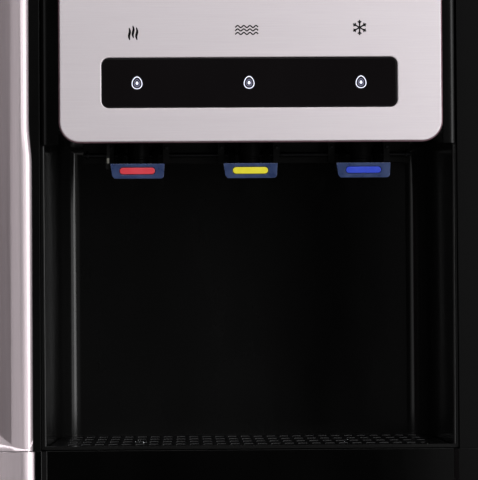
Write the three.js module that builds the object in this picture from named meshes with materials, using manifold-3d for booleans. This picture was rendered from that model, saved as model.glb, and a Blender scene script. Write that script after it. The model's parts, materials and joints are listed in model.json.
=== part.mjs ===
// A free-standing bottom load water cooler: a tall cabinet with a bottle compartment behind a hinged
// door, and above it an open bay with three press-down taps over a lift-out drip tray.
// Millimetres, +Z up, the front faces -Y, and the origin is on the floor at the middle of the footprint.
import * as THREE from "three";
import { mergeVertices } from "three/addons/utils/BufferGeometryUtils.js";
import Module from "manifold-3d";

const wasm = await Module();
wasm.setup();

// ---------------------------------------------------------------- driving dimensions
const HALF_WIDTH = 165; // overall width 330
const FRONT = -185; // foremost face: the crown of the door's bright edge strip
const REAR = 185; // hindmost face: the condenser wires
const HEIGHT = 1060;
const GAP = 0.3; // between pieces that touch

const FOOT = { radius: 16, height: 15, rim: 4, taper: 3, x: 135, front: -130, rear: 125 };
const SHEET = 1.5; // steel sheet of the casing
const CASE = { front: -163, back: 150, bottom: 18, top: 1028 };
const FLANGE = 14; // folded edges of the side panels
const INNER = HALF_WIDTH - SHEET - GAP; // half width of what fits between the side panels
const BASE = { front: -156, back: 148, bottom: FOOT.height + GAP, top: 60, wall: 2, rib_y: -5 };
const SHELF = { bottom: 60.3, top: 75, seat_depth: 4, seat_radius: 138, seat_y: -17 };
const COMPARTMENT_BACK = 122;
const DECK = { bottom: 640, top: 643, front: -155, back: CASE.back - 6 };
const TANK_SHELF = { bottom: 785, top: 788, front: 0 };
const HOSE_PASS = { x: -24, y: 122, radius: 7 }; // hole for the delivery hose in the tank shelf

const PILLAR = { front: -180, back: CASE.front - GAP, inner: 129.5, bottom: 688, edge: 0.4, corner: 8 };
const TRIM = { inner: -134.5, split: 687.7, back: -172.3, foot: 17, slope: 0.49 };
const CROWN = { left: -143, right: -138.2, upper: FRONT + 0.8 }; // the foremost band of the bright strip
const SWAY = { from: 865, to: 890, by: 1.7 }; // where the strip's inner edge moves towards the side
const DOOR = { bottom: 62, top: 687.7, front: -180, back: -168, strip: 131, recess: -176.5, skin: -172 };
const LINER = { half: 129.5, bottom: 80, top: 636, back: -160.3, floor: -166, rim: 14, corner: 16 };
const CATCH = { left: -127, right: -117, bottom: 618, depth: 20, strike: 2 };
const HINGE = { x: 156, y: -174, pin: 3, bore: 3.3, inner: 134, outer: 162, washer: 6, depth: 14.3 };

const TRAY_TOP = 690; // the face that a cup stands on
const BAY = {
  front: -176.5,
  back: -20,
  mouth: 126.8, // half width at the front
  rear: 123.2, // half width at the back
  wall: 2.4,
  floor: 664,
  ceiling: 884,
  corner: 14, // of the rear wall and each side wall
  cove: 6, // of the rear wall and the ceiling
};
const WELL_FRONT = -167; // front of the space that the drip tray drops into

const TRAY = { front: WELL_FRONT + 0.8, clear: 1, wall: 2, plate: 3 };
const SLOTS = { width: 6.2, depth: 24, pitch_x: 8.6, pitch_y: 34, columns: 27, rows: 4, margin: 8.2 };

const PITCH = 70; // spacing of the taps
const MIDDLE = 1; // x of the middle tap
const TAPS = { hot: MIDDLE - PITCH, room: MIDDLE, cold: MIDDLE + PITCH };

const FASCIA = { x: 1.5, width: 237, bottom: 879, top: 1023, front: -181.5, back: -177.3, corner: 12.3 };
const WINDOW = { x: 0.8, width: 183, bottom: 900.2, top: 930.8, corner: 4.3, front: -180.9, back: -178.4 };
const LIGHT = { middle: 0.5, pitch: 69.5, z: 915.5, radius: 3.7, proud: 0.3, depth: 6.4 };
const LIGHTS = { hot: LIGHT.middle - LIGHT.pitch, room: LIGHT.middle, cold: LIGHT.middle + LIGHT.pitch };
const BOARD = { left: -84, right: 86, front: -171.6, back: -170, margin: 2 };
const HEAD = { bottom: 887.2, top: CASE.top, front: -177, back: -166, wall: 3 };
const CHEEK = { front: -179.8, bottom: 877.4, round: 5.2, gap: 1 }; // the head's flanks beside the fascia

const NOZZLE = { y: -150, radius: 6.75, tip: 857, bore: 3.2 };
const VALVE = { half: 13, ahead: 14, behind: 16, top: 908, barb: 4, barb_top: 913 };
const ROD = { y: -136, z: 873, radius: 1.5, bore: 1.8, half: 104 };
const TAB = {
  front: -183.6,
  thick: 3.2,
  bottom: 856,
  top: 865.2,
  width: 33.5,
  corner: 2, // lower right
  lean: 1.1, // of the left edge
  chamfer: 1.6, // lower left
};
const MARKER = { x: -0.1, width: 21.8, height: 4.1, z: 860.7, pocket: 1.2, proud: 0.5 };

const COLD_TANK = { x: 62, y: 74, radius: 54, foam: 68, bottom: TANK_SHELF.top + GAP, height: 190 };
const HOT_TANK = { x: -85, y: 78, radius: 42, bottom: TANK_SHELF.top + GAP, height: 165 };
const COMPRESSOR = { x: 85, y: 72, radius: 54, height: 122 };
const PUMP = { x: -92, y: 84, half_x: 27, half_y: 40, height: 46 };
const PROBE = { x: -149, y: 96, stem: 4.5, head: 12, bottom: 165, neck: 575, top: 612 };

const VENTS = { x: [-100, -40, 40, 100], width: 46, height: 5, bottom: 668, rise: 13, rows: 8 };
const SWITCH = { x: [-118, -78], z: 998, half_x: 9, half_z: 13, y: CASE.back + 1, tilt: 8, room: 0.6 };
const INLET = { x: 105, z: 998, opening: { x: 14, z: 10.5 }, half_x: 19, half_z: 14 };
const DRAIN = { x: -105, z: 810, stub: 9, bore: 5.5, tip: 166, cap: 12.5 };

// ---------------------------------------------------------------- finishes
const finish = (color, roughness, metalness) =>
  new THREE.MeshStandardMaterial({ color, roughness, metalness });
const FINISH = {
  brushed: finish(0xc9c3c6, 0.32, 1),
  paint: finish(0x18181a, 0.45, 0.2),
  gloss_black: finish(0x070708, 0.16, 0),
  satin_black: finish(0x0b0b0c, 0.42, 0),
  window: finish(0x0d0b0c, 0.1, 0),
  navy: finish(0x1d2b52, 0.3, 0),
  red: finish(0xc9303f, 0.4, 0),
  yellow: finish(0xd9cf2c, 0.4, 0),
  blue: finish(0x2b3fc4, 0.4, 0),
  lamp: finish(0xe6e6f2, 0.25, 0),
  galvanised: finish(0x8d9194, 0.5, 0.8),
  grey_plastic: finish(0x8a8d90, 0.5, 0),
  white_plastic: finish(0xdadcd9, 0.45, 0),
  foam: finish(0xe4e4dd, 0.9, 0),
  tank_steel: finish(0xb6b8ba, 0.3, 1),
  enamel: finish(0x131314, 0.35, 0),
  silicone: finish(0xdfe3e4, 0.4, 0),
  rubber: finish(0x151515, 0.85, 0),
  board: finish(0x1c5a34, 0.5, 0),
  steel: finish(0x9a9b9d, 0.35, 1),
};

// ---------------------------------------------------------------- solids
// A closed three.js geometry as a manifold solid.
function solid(geometry) {
  const bare = geometry.clone();
  for (const name of Object.keys(bare.attributes)) {
    if (name !== "position") bare.deleteAttribute(name);
  }
  const merged = mergeVertices(bare, 1e-4);
  return new wasm.Manifold(
    new wasm.Mesh({
      numProp: 3,
      vertProperties: merged.attributes.position.array,
      triVerts: new Uint32Array(merged.index.array),
    }),
  );
}

// A manifold solid back as a flat-shaded geometry.
function geometryOf(shape) {
  const mesh = shape.getMesh();
  const indexed = new THREE.BufferGeometry();
  indexed.setAttribute("position", new THREE.BufferAttribute(mesh.vertProperties, 3));
  indexed.setIndex(new THREE.BufferAttribute(mesh.triVerts, 1));
  const flat = indexed.toNonIndexed();
  flat.computeVertexNormals();
  return flat;
}

const join = (...shapes) => shapes.reduce((a, b) => a.add(b));
const cut = (shape, ...tools) => tools.reduce((a, b) => a.subtract(b), shape);

function block(x0, x1, y0, y1, z0, z1) {
  const box = new THREE.BoxGeometry(x1 - x0, y1 - y0, z1 - z0);
  return solid(box.translate((x0 + x1) / 2, (y0 + y1) / 2, (z0 + z1) / 2));
}

// A cylinder between two heights along one axis; u and v are its centre on the other two, in X, Y, Z order.
function rod(axis, u, v, from, to, radius, sides = 16) {
  const round = new THREE.CylinderGeometry(radius, radius, to - from, sides);
  const middle = (from + to) / 2;
  if (axis === "x") return solid(round.rotateZ(-Math.PI / 2).translate(middle, u, v));
  if (axis === "y") return solid(round.translate(u, middle, v));
  return solid(round.rotateX(Math.PI / 2).translate(u, v, middle));
}

function shapeOf(points) {
  return new THREE.Shape(points.map(([u, v]) => new THREE.Vector2(u, v)));
}

// A rectangle with round corners, anticlockwise.
function roundedRect(u0, u1, v0, v1, radius) {
  const shape = new THREE.Shape();
  shape.moveTo(u0 + radius, v0);
  shape.lineTo(u1 - radius, v0);
  shape.absarc(u1 - radius, v0 + radius, radius, -Math.PI / 2, 0, false);
  shape.lineTo(u1, v1 - radius);
  shape.absarc(u1 - radius, v1 - radius, radius, 0, Math.PI / 2, false);
  shape.lineTo(u0 + radius, v1);
  shape.absarc(u0 + radius, v1 - radius, radius, Math.PI / 2, Math.PI, false);
  shape.lineTo(u0, v0 + radius);
  shape.absarc(u0 + radius, v0 + radius, radius, Math.PI, 1.5 * Math.PI, false);
  return shape;
}

const BASIS = {
  plan: new THREE.Matrix4(), // outline in X, Y, extruded up
  front: new THREE.Matrix4().makeBasis(
    new THREE.Vector3(1, 0, 0),
    new THREE.Vector3(0, 0, 1),
    new THREE.Vector3(0, -1, 0),
  ), // outline in X, Z
  side: new THREE.Matrix4().makeBasis(
    new THREE.Vector3(0, 1, 0),
    new THREE.Vector3(0, 0, 1),
    new THREE.Vector3(1, 0, 0),
  ), // outline in Y, Z
};

// An outline extruded across one of the three planes, from one position to another along the third axis.
function prism(plane, shape, from, to, curveSegments = 5) {
  const extruded = new THREE.ExtrudeGeometry(shape, {
    depth: to - from,
    bevelEnabled: false,
    curveSegments,
  });
  extruded.applyMatrix4(BASIS[plane]);
  if (plane === "plan") extruded.translate(0, 0, from);
  if (plane === "front") extruded.translate(0, to, 0);
  if (plane === "side") extruded.translate(from, 0, 0);
  return solid(extruded);
}

function lathe(profile, x, y, sides) {
  const points = profile.map(([r, z]) => new THREE.Vector2(r, z));
  return solid(new THREE.LatheGeometry(points, sides).rotateX(Math.PI / 2).translate(x, y, 0));
}

// A round hose or tube along a smooth curve through points.
function hose(points, radius, steps, halfSides = 4) {
  const curve = new THREE.CatmullRomCurve3(points.map((p) => new THREE.Vector3(...p)));
  const section = new THREE.Shape();
  section.absarc(0, 0, radius, 0, 2 * Math.PI, false);
  return solid(
    new THREE.ExtrudeGeometry(section, { steps, curveSegments: halfSides, extrudePath: curve }),
  );
}

const cooler = new THREE.Group();
cooler.name = "water_cooler";

function piece(name, shape, material) {
  const mesh = new THREE.Mesh(geometryOf(shape), material);
  mesh.name = name;
  cooler.add(mesh);
  return mesh;
}

// ---------------------------------------------------------------- casing
function feet() {
  for (const side of ["left", "right"]) {
    for (const end of ["front", "rear"]) {
      const x = side === "left" ? -FOOT.x : FOOT.x;
      piece(
        `foot_${end}_${side}`,
        lathe(
          [
            [0, 0],
            [FOOT.radius, 0],
            [FOOT.radius, FOOT.rim],
            [FOOT.radius - FOOT.taper, FOOT.height],
            [0, FOOT.height],
          ],
          x,
          FOOT[end],
          20,
        ),
        FINISH.rubber,
      );
    }
  }
}

function basePan() {
  const { wall, rib_y } = BASE;
  const outer = block(-INNER, INNER, BASE.front, BASE.back, BASE.bottom, BASE.top);
  const inner = block(
    -INNER + wall,
    INNER - wall,
    BASE.front + wall,
    BASE.back - wall,
    BASE.bottom + wall,
    BASE.top + 1,
  );
  // A stiffening rib across the middle carries the bottle shelf.
  const rib = block(-INNER + 1, INNER - 1, rib_y - 1, rib_y + 1, BASE.bottom + 1, BASE.top);
  piece("base_pan", join(cut(outer, inner), rib), FINISH.paint);
}

// One side of the casing: a sheet folded inwards along its front and rear edges.
function sidePanel(name, side) {
  const at = (x) => side * x;
  const outline = [
    [at(HALF_WIDTH), CASE.front],
    [at(HALF_WIDTH), CASE.back],
    [at(HALF_WIDTH - FLANGE), CASE.back],
    [at(HALF_WIDTH - FLANGE), CASE.back - SHEET],
    [at(HALF_WIDTH - SHEET), CASE.back - SHEET],
    [at(HALF_WIDTH - SHEET), CASE.front + SHEET],
    [at(HALF_WIDTH - FLANGE), CASE.front + SHEET],
    [at(HALF_WIDTH - FLANGE), CASE.front],
  ];
  if (side < 0) outline.reverse();
  piece(name, prism("plan", shapeOf(outline), CASE.bottom, CASE.top), FINISH.paint);
}

// The upper rear cover, with its vents, switch and inlet openings and the drain stub.
function rearPanel() {
  const y0 = CASE.back - SHEET - GAP - SHEET;
  const y1 = y0 + SHEET;
  let panel = block(-INNER, INNER, y0, y1, DECK.top + GAP, CASE.top);
  for (const x of VENTS.x) {
    for (let row = 0; row < VENTS.rows; row++) {
      const z = VENTS.bottom + row * VENTS.rise;
      const half = VENTS.width / 2;
      panel = cut(panel, block(x - half, x + half, y0 - 1, y1 + 1, z, z + VENTS.height));
    }
  }
  const half_x = SWITCH.half_x + SWITCH.room;
  const half_z = SWITCH.half_z + SWITCH.room;
  for (const x of SWITCH.x) {
    const opening = block(x - half_x, x + half_x, y0 - 1, y1 + 1, SWITCH.z - half_z, SWITCH.z + half_z);
    panel = cut(panel, opening);
  }
  const inlet = INLET.opening;
  panel = cut(
    panel,
    block(INLET.x - inlet.x, INLET.x + inlet.x, y0 - 1, y1 + 1, INLET.z - inlet.z, INLET.z + inlet.z),
  );
  const stub = cut(
    rod("y", DRAIN.x, DRAIN.z, y0 + 0.2, DRAIN.tip, DRAIN.stub, 20),
    rod("y", DRAIN.x, DRAIN.z, y0 - 1, DRAIN.tip + 1, DRAIN.bore, 16),
  );
  const through = rod("y", DRAIN.x, DRAIN.z, y0 - 1, y1 + 1, DRAIN.bore, 16);
  piece("rear_panel", join(cut(panel, through), stub), FINISH.galvanised);
}

function compartmentBack() {
  const sheet = block(
    -INNER,
    INNER,
    COMPARTMENT_BACK,
    COMPARTMENT_BACK + 2,
    SHELF.top + GAP,
    DECK.bottom - GAP,
  );
  // A clip, open to the front, holds the probe's stem against the wall.
  const clip = { wall: 2.5, reach: PROBE.y - 8, mouth: 3.6, z: 300, height: 24, upper: 180 };
  const bore = PROBE.stem + 0.5;
  const arms = cut(
    block(
      PROBE.x - bore - clip.wall,
      PROBE.x + bore + clip.wall,
      clip.reach,
      COMPARTMENT_BACK + 0.5,
      clip.z,
      clip.z + clip.height,
    ),
    rod("z", PROBE.x, PROBE.y, clip.z - 1, clip.z + clip.height + 1, bore, 16),
    block(
      PROBE.x - clip.mouth,
      PROBE.x + clip.mouth,
      clip.reach - 1,
      PROBE.y,
      clip.z - 1,
      clip.z + clip.height + 1,
    ),
  );
  const upper = arms.translate([0, 0, clip.upper]);
  piece("compartment_back", join(sheet, arms, upper), FINISH.grey_plastic);
}

function bottleShelf() {
  const slab = block(-INNER, INNER, BASE.front, COMPARTMENT_BACK + 2, SHELF.bottom, SHELF.top);
  const { seat_y, seat_depth, seat_radius } = SHELF;
  const seat = rod("z", 0, seat_y, SHELF.top - seat_depth, SHELF.top + 1, seat_radius, 48);
  piece("bottle_shelf", cut(slab, seat), FINISH.grey_plastic);
}

function decks() {
  const hose_hole = 6.5;
  const hole = rod("z", PROBE.x, PROBE.y, DECK.bottom - 1, DECK.top + 1, hose_hole, 16);
  const deck = block(-INNER, INNER, DECK.front, DECK.back, DECK.bottom, DECK.top);
  piece("mid_deck", cut(deck, hole), FINISH.galvanised);
  const { front, bottom, top } = TANK_SHELF;
  const shelf = block(-INNER, INNER, front, DECK.back, bottom, top);
  const pass = rod("z", HOSE_PASS.x, HOSE_PASS.y, bottom - 1, top + 1, HOSE_PASS.radius, 16);
  piece("tank_shelf", cut(shelf, pass), FINISH.galvanised);
}

function topCover() {
  const edge = 6;
  const corner = 12;
  const wall = 3;
  const roof = 9;
  const bottom = CASE.top + GAP;
  const outline = roundedRect(
    -HALF_WIDTH + edge,
    HALF_WIDTH - edge,
    PILLAR.front + edge,
    CASE.back - edge,
    corner - edge,
  );
  const rounded = new THREE.ExtrudeGeometry(outline, {
    depth: HEIGHT - bottom,
    curveSegments: 5,
    bevelEnabled: true,
    bevelThickness: edge,
    bevelSize: edge,
    bevelSegments: 4,
  });
  // The bevel rounds both rims; the lower one is cut away, which leaves a flat rim to sit on the casing.
  const dome = cut(
    solid(rounded.translate(0, 0, bottom - edge)),
    block(-200, 200, -200, 200, bottom - 2 * edge - 1, bottom),
  );
  const hollow = block(
    -HALF_WIDTH + wall,
    HALF_WIDTH - wall,
    PILLAR.front + wall,
    CASE.back - wall,
    bottom - 1,
    HEIGHT - roof,
  );
  piece("top_cover", cut(dome, hollow), FINISH.satin_black);
}

// ---------------------------------------------------------------- upper front
function pillars() {
  const { front, back, inner, bottom, edge, corner } = PILLAR;
  const right = new THREE.Shape();
  right.moveTo(inner, back);
  right.lineTo(inner, front + edge);
  right.absarc(inner + edge, front + edge, edge, Math.PI, 1.5 * Math.PI, false);
  right.lineTo(HALF_WIDTH - corner, front);
  right.absarc(HALF_WIDTH - corner, front + corner, corner, -Math.PI / 2, 0, false);
  right.lineTo(HALF_WIDTH, back);
  const pin = rod("z", HINGE.x, HINGE.y, bottom - 1, bottom + HINGE.depth, HINGE.bore, 16);
  piece("right_pillar", cut(prism("plan", right, bottom, CASE.top), pin), FINISH.gloss_black);

  // The left pillar steps back behind the bright strip that covers most of it.
  const step = TRIM.inner + GAP;
  const left = new THREE.Shape();
  left.moveTo(-inner, back);
  left.lineTo(-HALF_WIDTH, back);
  left.lineTo(-HALF_WIDTH, TRIM.back + GAP);
  left.lineTo(step, TRIM.back + GAP);
  left.lineTo(step, front);
  left.lineTo(-inner - edge, front);
  left.absarc(-inner - edge, front + edge, edge, -Math.PI / 2, 0, false);
  const follows = (x) => (Math.abs(x - step) < 0.01 ? 1 : 0);
  piece("left_pillar", swayingPrism(left, bottom, CASE.top, follows, 5), FINISH.gloss_black);
}

// An upright prism, the marked corners of whose outline move with the bright strip's inner edge.
function swayingPrism(outline, from, to, share, curveSegments) {
  const between = [0, 0.25, 0.5, 0.75, 1].map((t) => SWAY.from + t * (SWAY.to - SWAY.from));
  const rings = [from, ...between, to];
  const steps = rings.length - 1;
  const options = { depth: steps, steps, bevelEnabled: false, curveSegments };
  const extruded = new THREE.ExtrudeGeometry(outline, options);
  const place = extruded.attributes.position;
  for (let k = 0; k < place.count; k++) {
    const x = place.getX(k);
    const z = rings[Math.round(place.getZ(k))];
    const move = SWAY.by * share(x) * THREE.MathUtils.smoothstep(z, SWAY.from, SWAY.to);
    place.setXYZ(k, x - move, place.getY(k), z);
  }
  return solid(extruded);
}

// The bright strip of the upper front: a crown beside the bay, then a face that falls away to the side.
function leftTrim() {
  const { inner, back } = TRIM;
  const { left, right, upper } = CROWN;
  const strip = new THREE.Shape();
  strip.moveTo(inner, back);
  strip.lineTo(-HALF_WIDTH, back);
  strip.quadraticCurveTo(-HALF_WIDTH, back - 2.6, -HALF_WIDTH + 3, back - 3.8);
  strip.lineTo(-148, upper + 1.5);
  strip.quadraticCurveTo(-146.5, upper + 0.8, left, upper + 0.2);
  strip.quadraticCurveTo(-140.5, upper - 0.2, right, upper + 0.3);
  strip.quadraticCurveTo(right + 2.2, upper + 0.5, inner, upper + 2.6);
  const share = (x) => THREE.MathUtils.clamp((x - left) / (right - left), 0, 1);
  // Its foot flares out to the fuller strip below, in a slope that starts at the seam.
  const seam = TRIM.split + GAP;
  const slope = [
    [back, seam],
    [back, seam + TRIM.foot],
    [FRONT + TRIM.slope * TRIM.foot, seam + TRIM.foot],
    [FRONT + 0.4, seam + 0.8],
    [FRONT + 0.4, seam],
  ];
  const foot = prism("plan", fullTrimOutline(inner), seam - 1, seam + TRIM.foot + 1, 5).intersect(
    prism("side", shapeOf(slope), -HALF_WIDTH - 1, inner + 1),
  );
  piece("left_trim", join(swayingPrism(strip, seam, CASE.top, share, 5), foot), FINISH.brushed);
}

// Outline of the fuller strip on the door's free edge: a flat face, a shallow ramp and the crown.
function fullTrimOutline(inner) {
  const { left, right } = CROWN;
  const strip = new THREE.Shape();
  strip.moveTo(inner, TRIM.back);
  strip.lineTo(-HALF_WIDTH, TRIM.back);
  strip.lineTo(-HALF_WIDTH, FRONT + 7.5);
  strip.quadraticCurveTo(-HALF_WIDTH + 0.5, FRONT + 2.2, -HALF_WIDTH + 6, FRONT + 1.7);
  strip.lineTo(-151.5, FRONT + 1.7);
  strip.quadraticCurveTo(-149.5, FRONT + 1.7, -148, FRONT + 1.4);
  strip.lineTo(left, FRONT + 0.2);
  strip.quadraticCurveTo(-140.5, FRONT - 0.25, right, FRONT + 0.3);
  strip.quadraticCurveTo(right + 2.2, FRONT + 0.5, inner, FRONT + 2.6);
  return strip;
}

function headShell() {
  const half = PILLAR.inner - GAP;
  const { bottom, top, front, back, wall } = HEAD;
  const hollow = block(-half + wall, half - wall, front + wall, back + 1, bottom + wall, top - wall);
  const lights = block(BOARD.left - 2, BOARD.right + 2, front - 1, back, WINDOW.bottom + 4, WINDOW.top - 4);
  let shell = cut(block(-half, half, front, back, bottom, top), hollow, lights);
  const seat = FASCIA.width / 2 + CHEEK.gap;
  for (const side of [-1, 1]) {
    const outline = new THREE.Shape();
    outline.moveTo(FASCIA.x + side * seat, front + 0.2);
    outline.lineTo(FASCIA.x + side * seat, CHEEK.front);
    outline.lineTo(side * (half - CHEEK.round), CHEEK.front);
    outline.quadraticCurveTo(side * half, CHEEK.front, side * half, front + 0.2);
    shell = join(shell, prism("plan", outline, CHEEK.bottom, top, 8));
  }
  piece("head_shell", shell, FINISH.gloss_black);
}

function controlFascia() {
  const half = FASCIA.width / 2;
  const plate = roundedRect(
    FASCIA.x - half,
    FASCIA.x + half,
    FASCIA.bottom,
    FASCIA.top,
    FASCIA.corner,
  );
  const opening = windowOutline(GAP);
  const rim = { width: 2, depth: 1.2 };
  const behind = block(
    FASCIA.x - half + rim.width,
    FASCIA.x + half - rim.width,
    FASCIA.back - rim.depth,
    FASCIA.back + 1,
    HEAD.bottom + 1,
    FASCIA.top - rim.width,
  );
  const sheet = prism("front", plate, FASCIA.front, FASCIA.back, 8);
  const hole = prism("front", opening, FASCIA.front - 1, FASCIA.back + 1, 4);
  piece("control_fascia", cut(sheet, hole, behind), FINISH.brushed);
}

function windowOutline(grow) {
  const half = WINDOW.width / 2 + grow;
  return roundedRect(
    WINDOW.x - half,
    WINDOW.x + half,
    WINDOW.bottom - grow,
    WINDOW.top + grow,
    WINDOW.corner + grow,
  );
}

function indicators() {
  let strip = prism("front", windowOutline(0), WINDOW.front, WINDOW.back, 4);
  for (const [name, x] of Object.entries(LIGHTS)) {
    const hole = rod("y", x, LIGHT.z, WINDOW.front - 1, WINDOW.back + 1, LIGHT.radius + GAP, 20);
    strip = cut(strip, hole);
    const [from, to] = [WINDOW.front - LIGHT.proud, WINDOW.back + LIGHT.depth];
    const lamp = rod("y", x, LIGHT.z, from, to, LIGHT.radius, 20);
    piece(`indicator_${name}`, lamp, FINISH.lamp);
  }
  piece("indicator_window", strip, FINISH.window);
  const { left, right, front, back, margin } = BOARD;
  const board = block(left, right, front, back, WINDOW.bottom + margin, WINDOW.top - margin);
  piece("control_board", board, FINISH.board);
}

// ---------------------------------------------------------------- bay
// The bay's plan outline: open at the front, drawn in towards the rear, with round rear corners.
function bayOutline(grow, front, back) {
  const taper = (BAY.mouth - BAY.rear) / (BAY.back - BAY.front);
  const half = (y) => BAY.mouth - taper * (y - BAY.front) + grow;
  const radius = BAY.corner + grow;
  const shape = new THREE.Shape();
  shape.moveTo(-half(front), front);
  shape.lineTo(half(front), front);
  shape.lineTo(half(back - radius), back - radius);
  shape.absarc(half(back - radius) - radius, back - radius, radius, 0, Math.PI / 2, false);
  shape.lineTo(-half(back - radius) + radius, back);
  shape.absarc(-half(back - radius) + radius, back - radius, radius, Math.PI / 2, Math.PI, false);
  return shape;
}

function bayLiner() {
  const { wall, floor, ceiling, front, back } = BAY;
  const outer = prism("plan", bayOutline(wall, front, back + wall), floor - wall, ceiling + wall, 6);
  const cavity = prism("plan", bayOutline(0, front - 1, back), TRAY_TOP + 0.4, ceiling, 6);
  const well = prism("plan", bayOutline(0, WELL_FRONT, back), floor, TRAY_TOP + 1, 6);
  // Below the sill the moulding is set back, to leave room for the top of the door.
  const sill = { thick: 1.9, back: WELL_FRONT - wall };
  const under = block(-140, 140, front - 1, sill.back, floor - wall - 1, TRAY_TOP - sill.thick + 0.4);
  const { cove } = BAY; // between the ceiling and the rear wall
  const coveShape = new THREE.Shape();
  coveShape.moveTo(back + 0.5, ceiling + 0.5);
  coveShape.lineTo(back - cove, ceiling + 0.5);
  coveShape.lineTo(back - cove, ceiling);
  coveShape.absarc(back - cove, ceiling - cove, cove, Math.PI / 2, 0, true);
  coveShape.lineTo(back + 0.5, ceiling - cove);
  const fillet = prism("side", coveShape, -BAY.rear, BAY.rear, 6).intersect(outer);
  let liner = join(cut(outer, cavity, well, under), fillet);
  for (const x of Object.values(TAPS)) {
    const hole = rod("z", x, NOZZLE.y, ceiling - 1, ceiling + wall + 1, NOZZLE.radius + 0.8, 20);
    liner = cut(liner, hole);
  }
  piece("bay_liner", liner, FINISH.gloss_black);
}

function dripTray() {
  const { wall, clear, front, plate } = TRAY;
  const back = BAY.back - clear;
  const bottom = BAY.floor + GAP;
  const rim = TRAY_TOP - plate;
  const outer = prism("plan", bayOutline(-clear, front, back), bottom, rim, 5);
  const hollow = bayOutline(-clear - wall, front + wall, back - wall);
  const inner = prism("plan", hollow, bottom + wall, rim + 1, 5);
  piece("drip_tray", cut(outer, inner), FINISH.satin_black);
}

// The cup grille: a plate with rows of slots, which lies on the tray's rim.
function dripGrille() {
  const bottom = TRAY_TOP - TRAY.plate + GAP;
  const slot = SLOTS;
  const first_y = TRAY.front + slot.margin;
  const outline = bayOutline(-TRAY.clear, TRAY.front, BAY.back - TRAY.clear);
  let plate = prism("plan", outline, bottom, TRAY_TOP, 5);
  const holes = [];
  for (let row = 0; row < slot.rows; row++) {
    for (let column = 0; column < slot.columns; column++) {
      const x = (column - (slot.columns - 1) / 2) * slot.pitch_x - slot.width / 2;
      const y = first_y + row * slot.pitch_y;
      holes.push(block(x, x + slot.width, y, y + slot.depth, bottom - 1, TRAY_TOP + 1));
    }
  }
  plate = plate.subtract(wasm.Manifold.union(holes));
  piece("drip_grille", plate, FINISH.satin_black);
}

// ---------------------------------------------------------------- taps
function faucet(name, x) {
  const { y, radius, tip, bore } = NOZZLE;
  const valve = block(
    x - VALVE.half,
    x + VALVE.half,
    y - VALVE.ahead,
    y + VALVE.behind,
    BAY.ceiling + BAY.wall + GAP,
    VALVE.top,
  );
  const barb = rod("z", x, y, VALVE.top - 1, VALVE.barb_top, VALVE.barb, 12);
  const nozzle = lathe(
    [
      [0, tip],
      [radius - 1.4, tip],
      [radius, tip + 5],
      [radius, BAY.ceiling + BAY.wall + 2],
      [0, BAY.ceiling + BAY.wall + 2],
    ],
    x,
    y,
    20,
  );
  const outlet = rod("z", x, y, tip - 1, tip + 18, bore, 12);
  piece(`faucet_${name}`, cut(join(valve, barb, nozzle), outlet), FINISH.satin_black);
}

// A press-down lever: a lip in front, a blade under the fascia and two arms back to the rod.
function lever(name, x) {
  const half = TAB.width / 2;
  const lip_back = TAB.front + TAB.thick;
  const lip = new THREE.Shape();
  lip.moveTo(x - half, TAB.top);
  lip.lineTo(x - half + TAB.lean, TAB.bottom + TAB.chamfer);
  lip.lineTo(x - half + TAB.lean + TAB.chamfer, TAB.bottom);
  lip.lineTo(x + half - TAB.corner, TAB.bottom);
  lip.absarc(x + half - TAB.corner, TAB.bottom + TAB.corner, TAB.corner, -Math.PI / 2, 0, false);
  lip.lineTo(x + half, TAB.top);
  const blade = { back: -163, bottom: 861.4 };
  let shape = join(
    prism("front", lip, TAB.front, lip_back, 4),
    block(x - half, x + half, lip_back - 0.5, blade.back, blade.bottom, TAB.top),
  );
  const eye = 4.4;
  const arm = [
    [blade.back - 3, blade.bottom],
    [blade.back + 4, blade.bottom],
    [ROD.y - 1, ROD.z - eye + 0.3],
    [ROD.y - 1, ROD.z + eye - 0.3],
    [blade.back - 3, TAB.top],
  ];
  for (const offset of [-13, 9]) {
    const limb = join(
      prism("side", shapeOf(arm), x + offset, x + offset + 4),
      rod("x", ROD.y, ROD.z, x + offset, x + offset + 4, eye, 16),
    );
    shape = join(shape, limb);
  }
  const rodHole = rod("x", ROD.y, ROD.z, x - 20, x + 20, ROD.bore, 16);
  const pocket = prism(
    "front",
    pill(x, MARKER.width + 2 * GAP, MARKER.height + 2 * GAP),
    TAB.front - 1,
    TAB.front + MARKER.pocket,
    5,
  );
  piece(`lever_${name}`, cut(shape, rodHole, pocket), FINISH.navy);
}

function pill(tap, width, height) {
  const x = tap + MARKER.x;
  const half = width / 2;
  const radius = height / 2 - 0.01;
  return roundedRect(x - half, x + half, MARKER.z - height / 2, MARKER.z + height / 2, radius);
}

function markers() {
  const colours = { hot: FINISH.red, room: FINISH.yellow, cold: FINISH.blue };
  for (const [name, x] of Object.entries(TAPS)) {
    const plug = prism(
      "front",
      pill(x, MARKER.width, MARKER.height),
      TAB.front - MARKER.proud,
      TAB.front + MARKER.pocket - GAP,
      5,
    );
    piece(`marker_${name}`, plug, colours[name]);
  }
}

function leverRail() {
  const top = BAY.ceiling - GAP;
  const bar = { front: -130.5, back: -124, bottom: 868 };
  const ear = { front: ROD.y - 4.4, half: 2, offset: 17.5 };
  let rail = block(-ROD.half, ROD.half, bar.front, bar.back, bar.bottom, top);
  for (const tap of Object.values(TAPS)) {
    for (const x of [tap - ear.offset, tap + ear.offset]) {
      rail = join(rail, block(x - ear.half, x + ear.half, ear.front, bar.front + 1, bar.bottom, top));
    }
  }
  const bore = rod("x", ROD.y, ROD.z, -ROD.half - 5, ROD.half + 5, ROD.bore, 16);
  piece("lever_rail", cut(rail, bore), FINISH.satin_black);
  piece("lever_rod", rod("x", ROD.y, ROD.z, -ROD.half, ROD.half, ROD.radius, 12), FINISH.steel);
}

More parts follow.
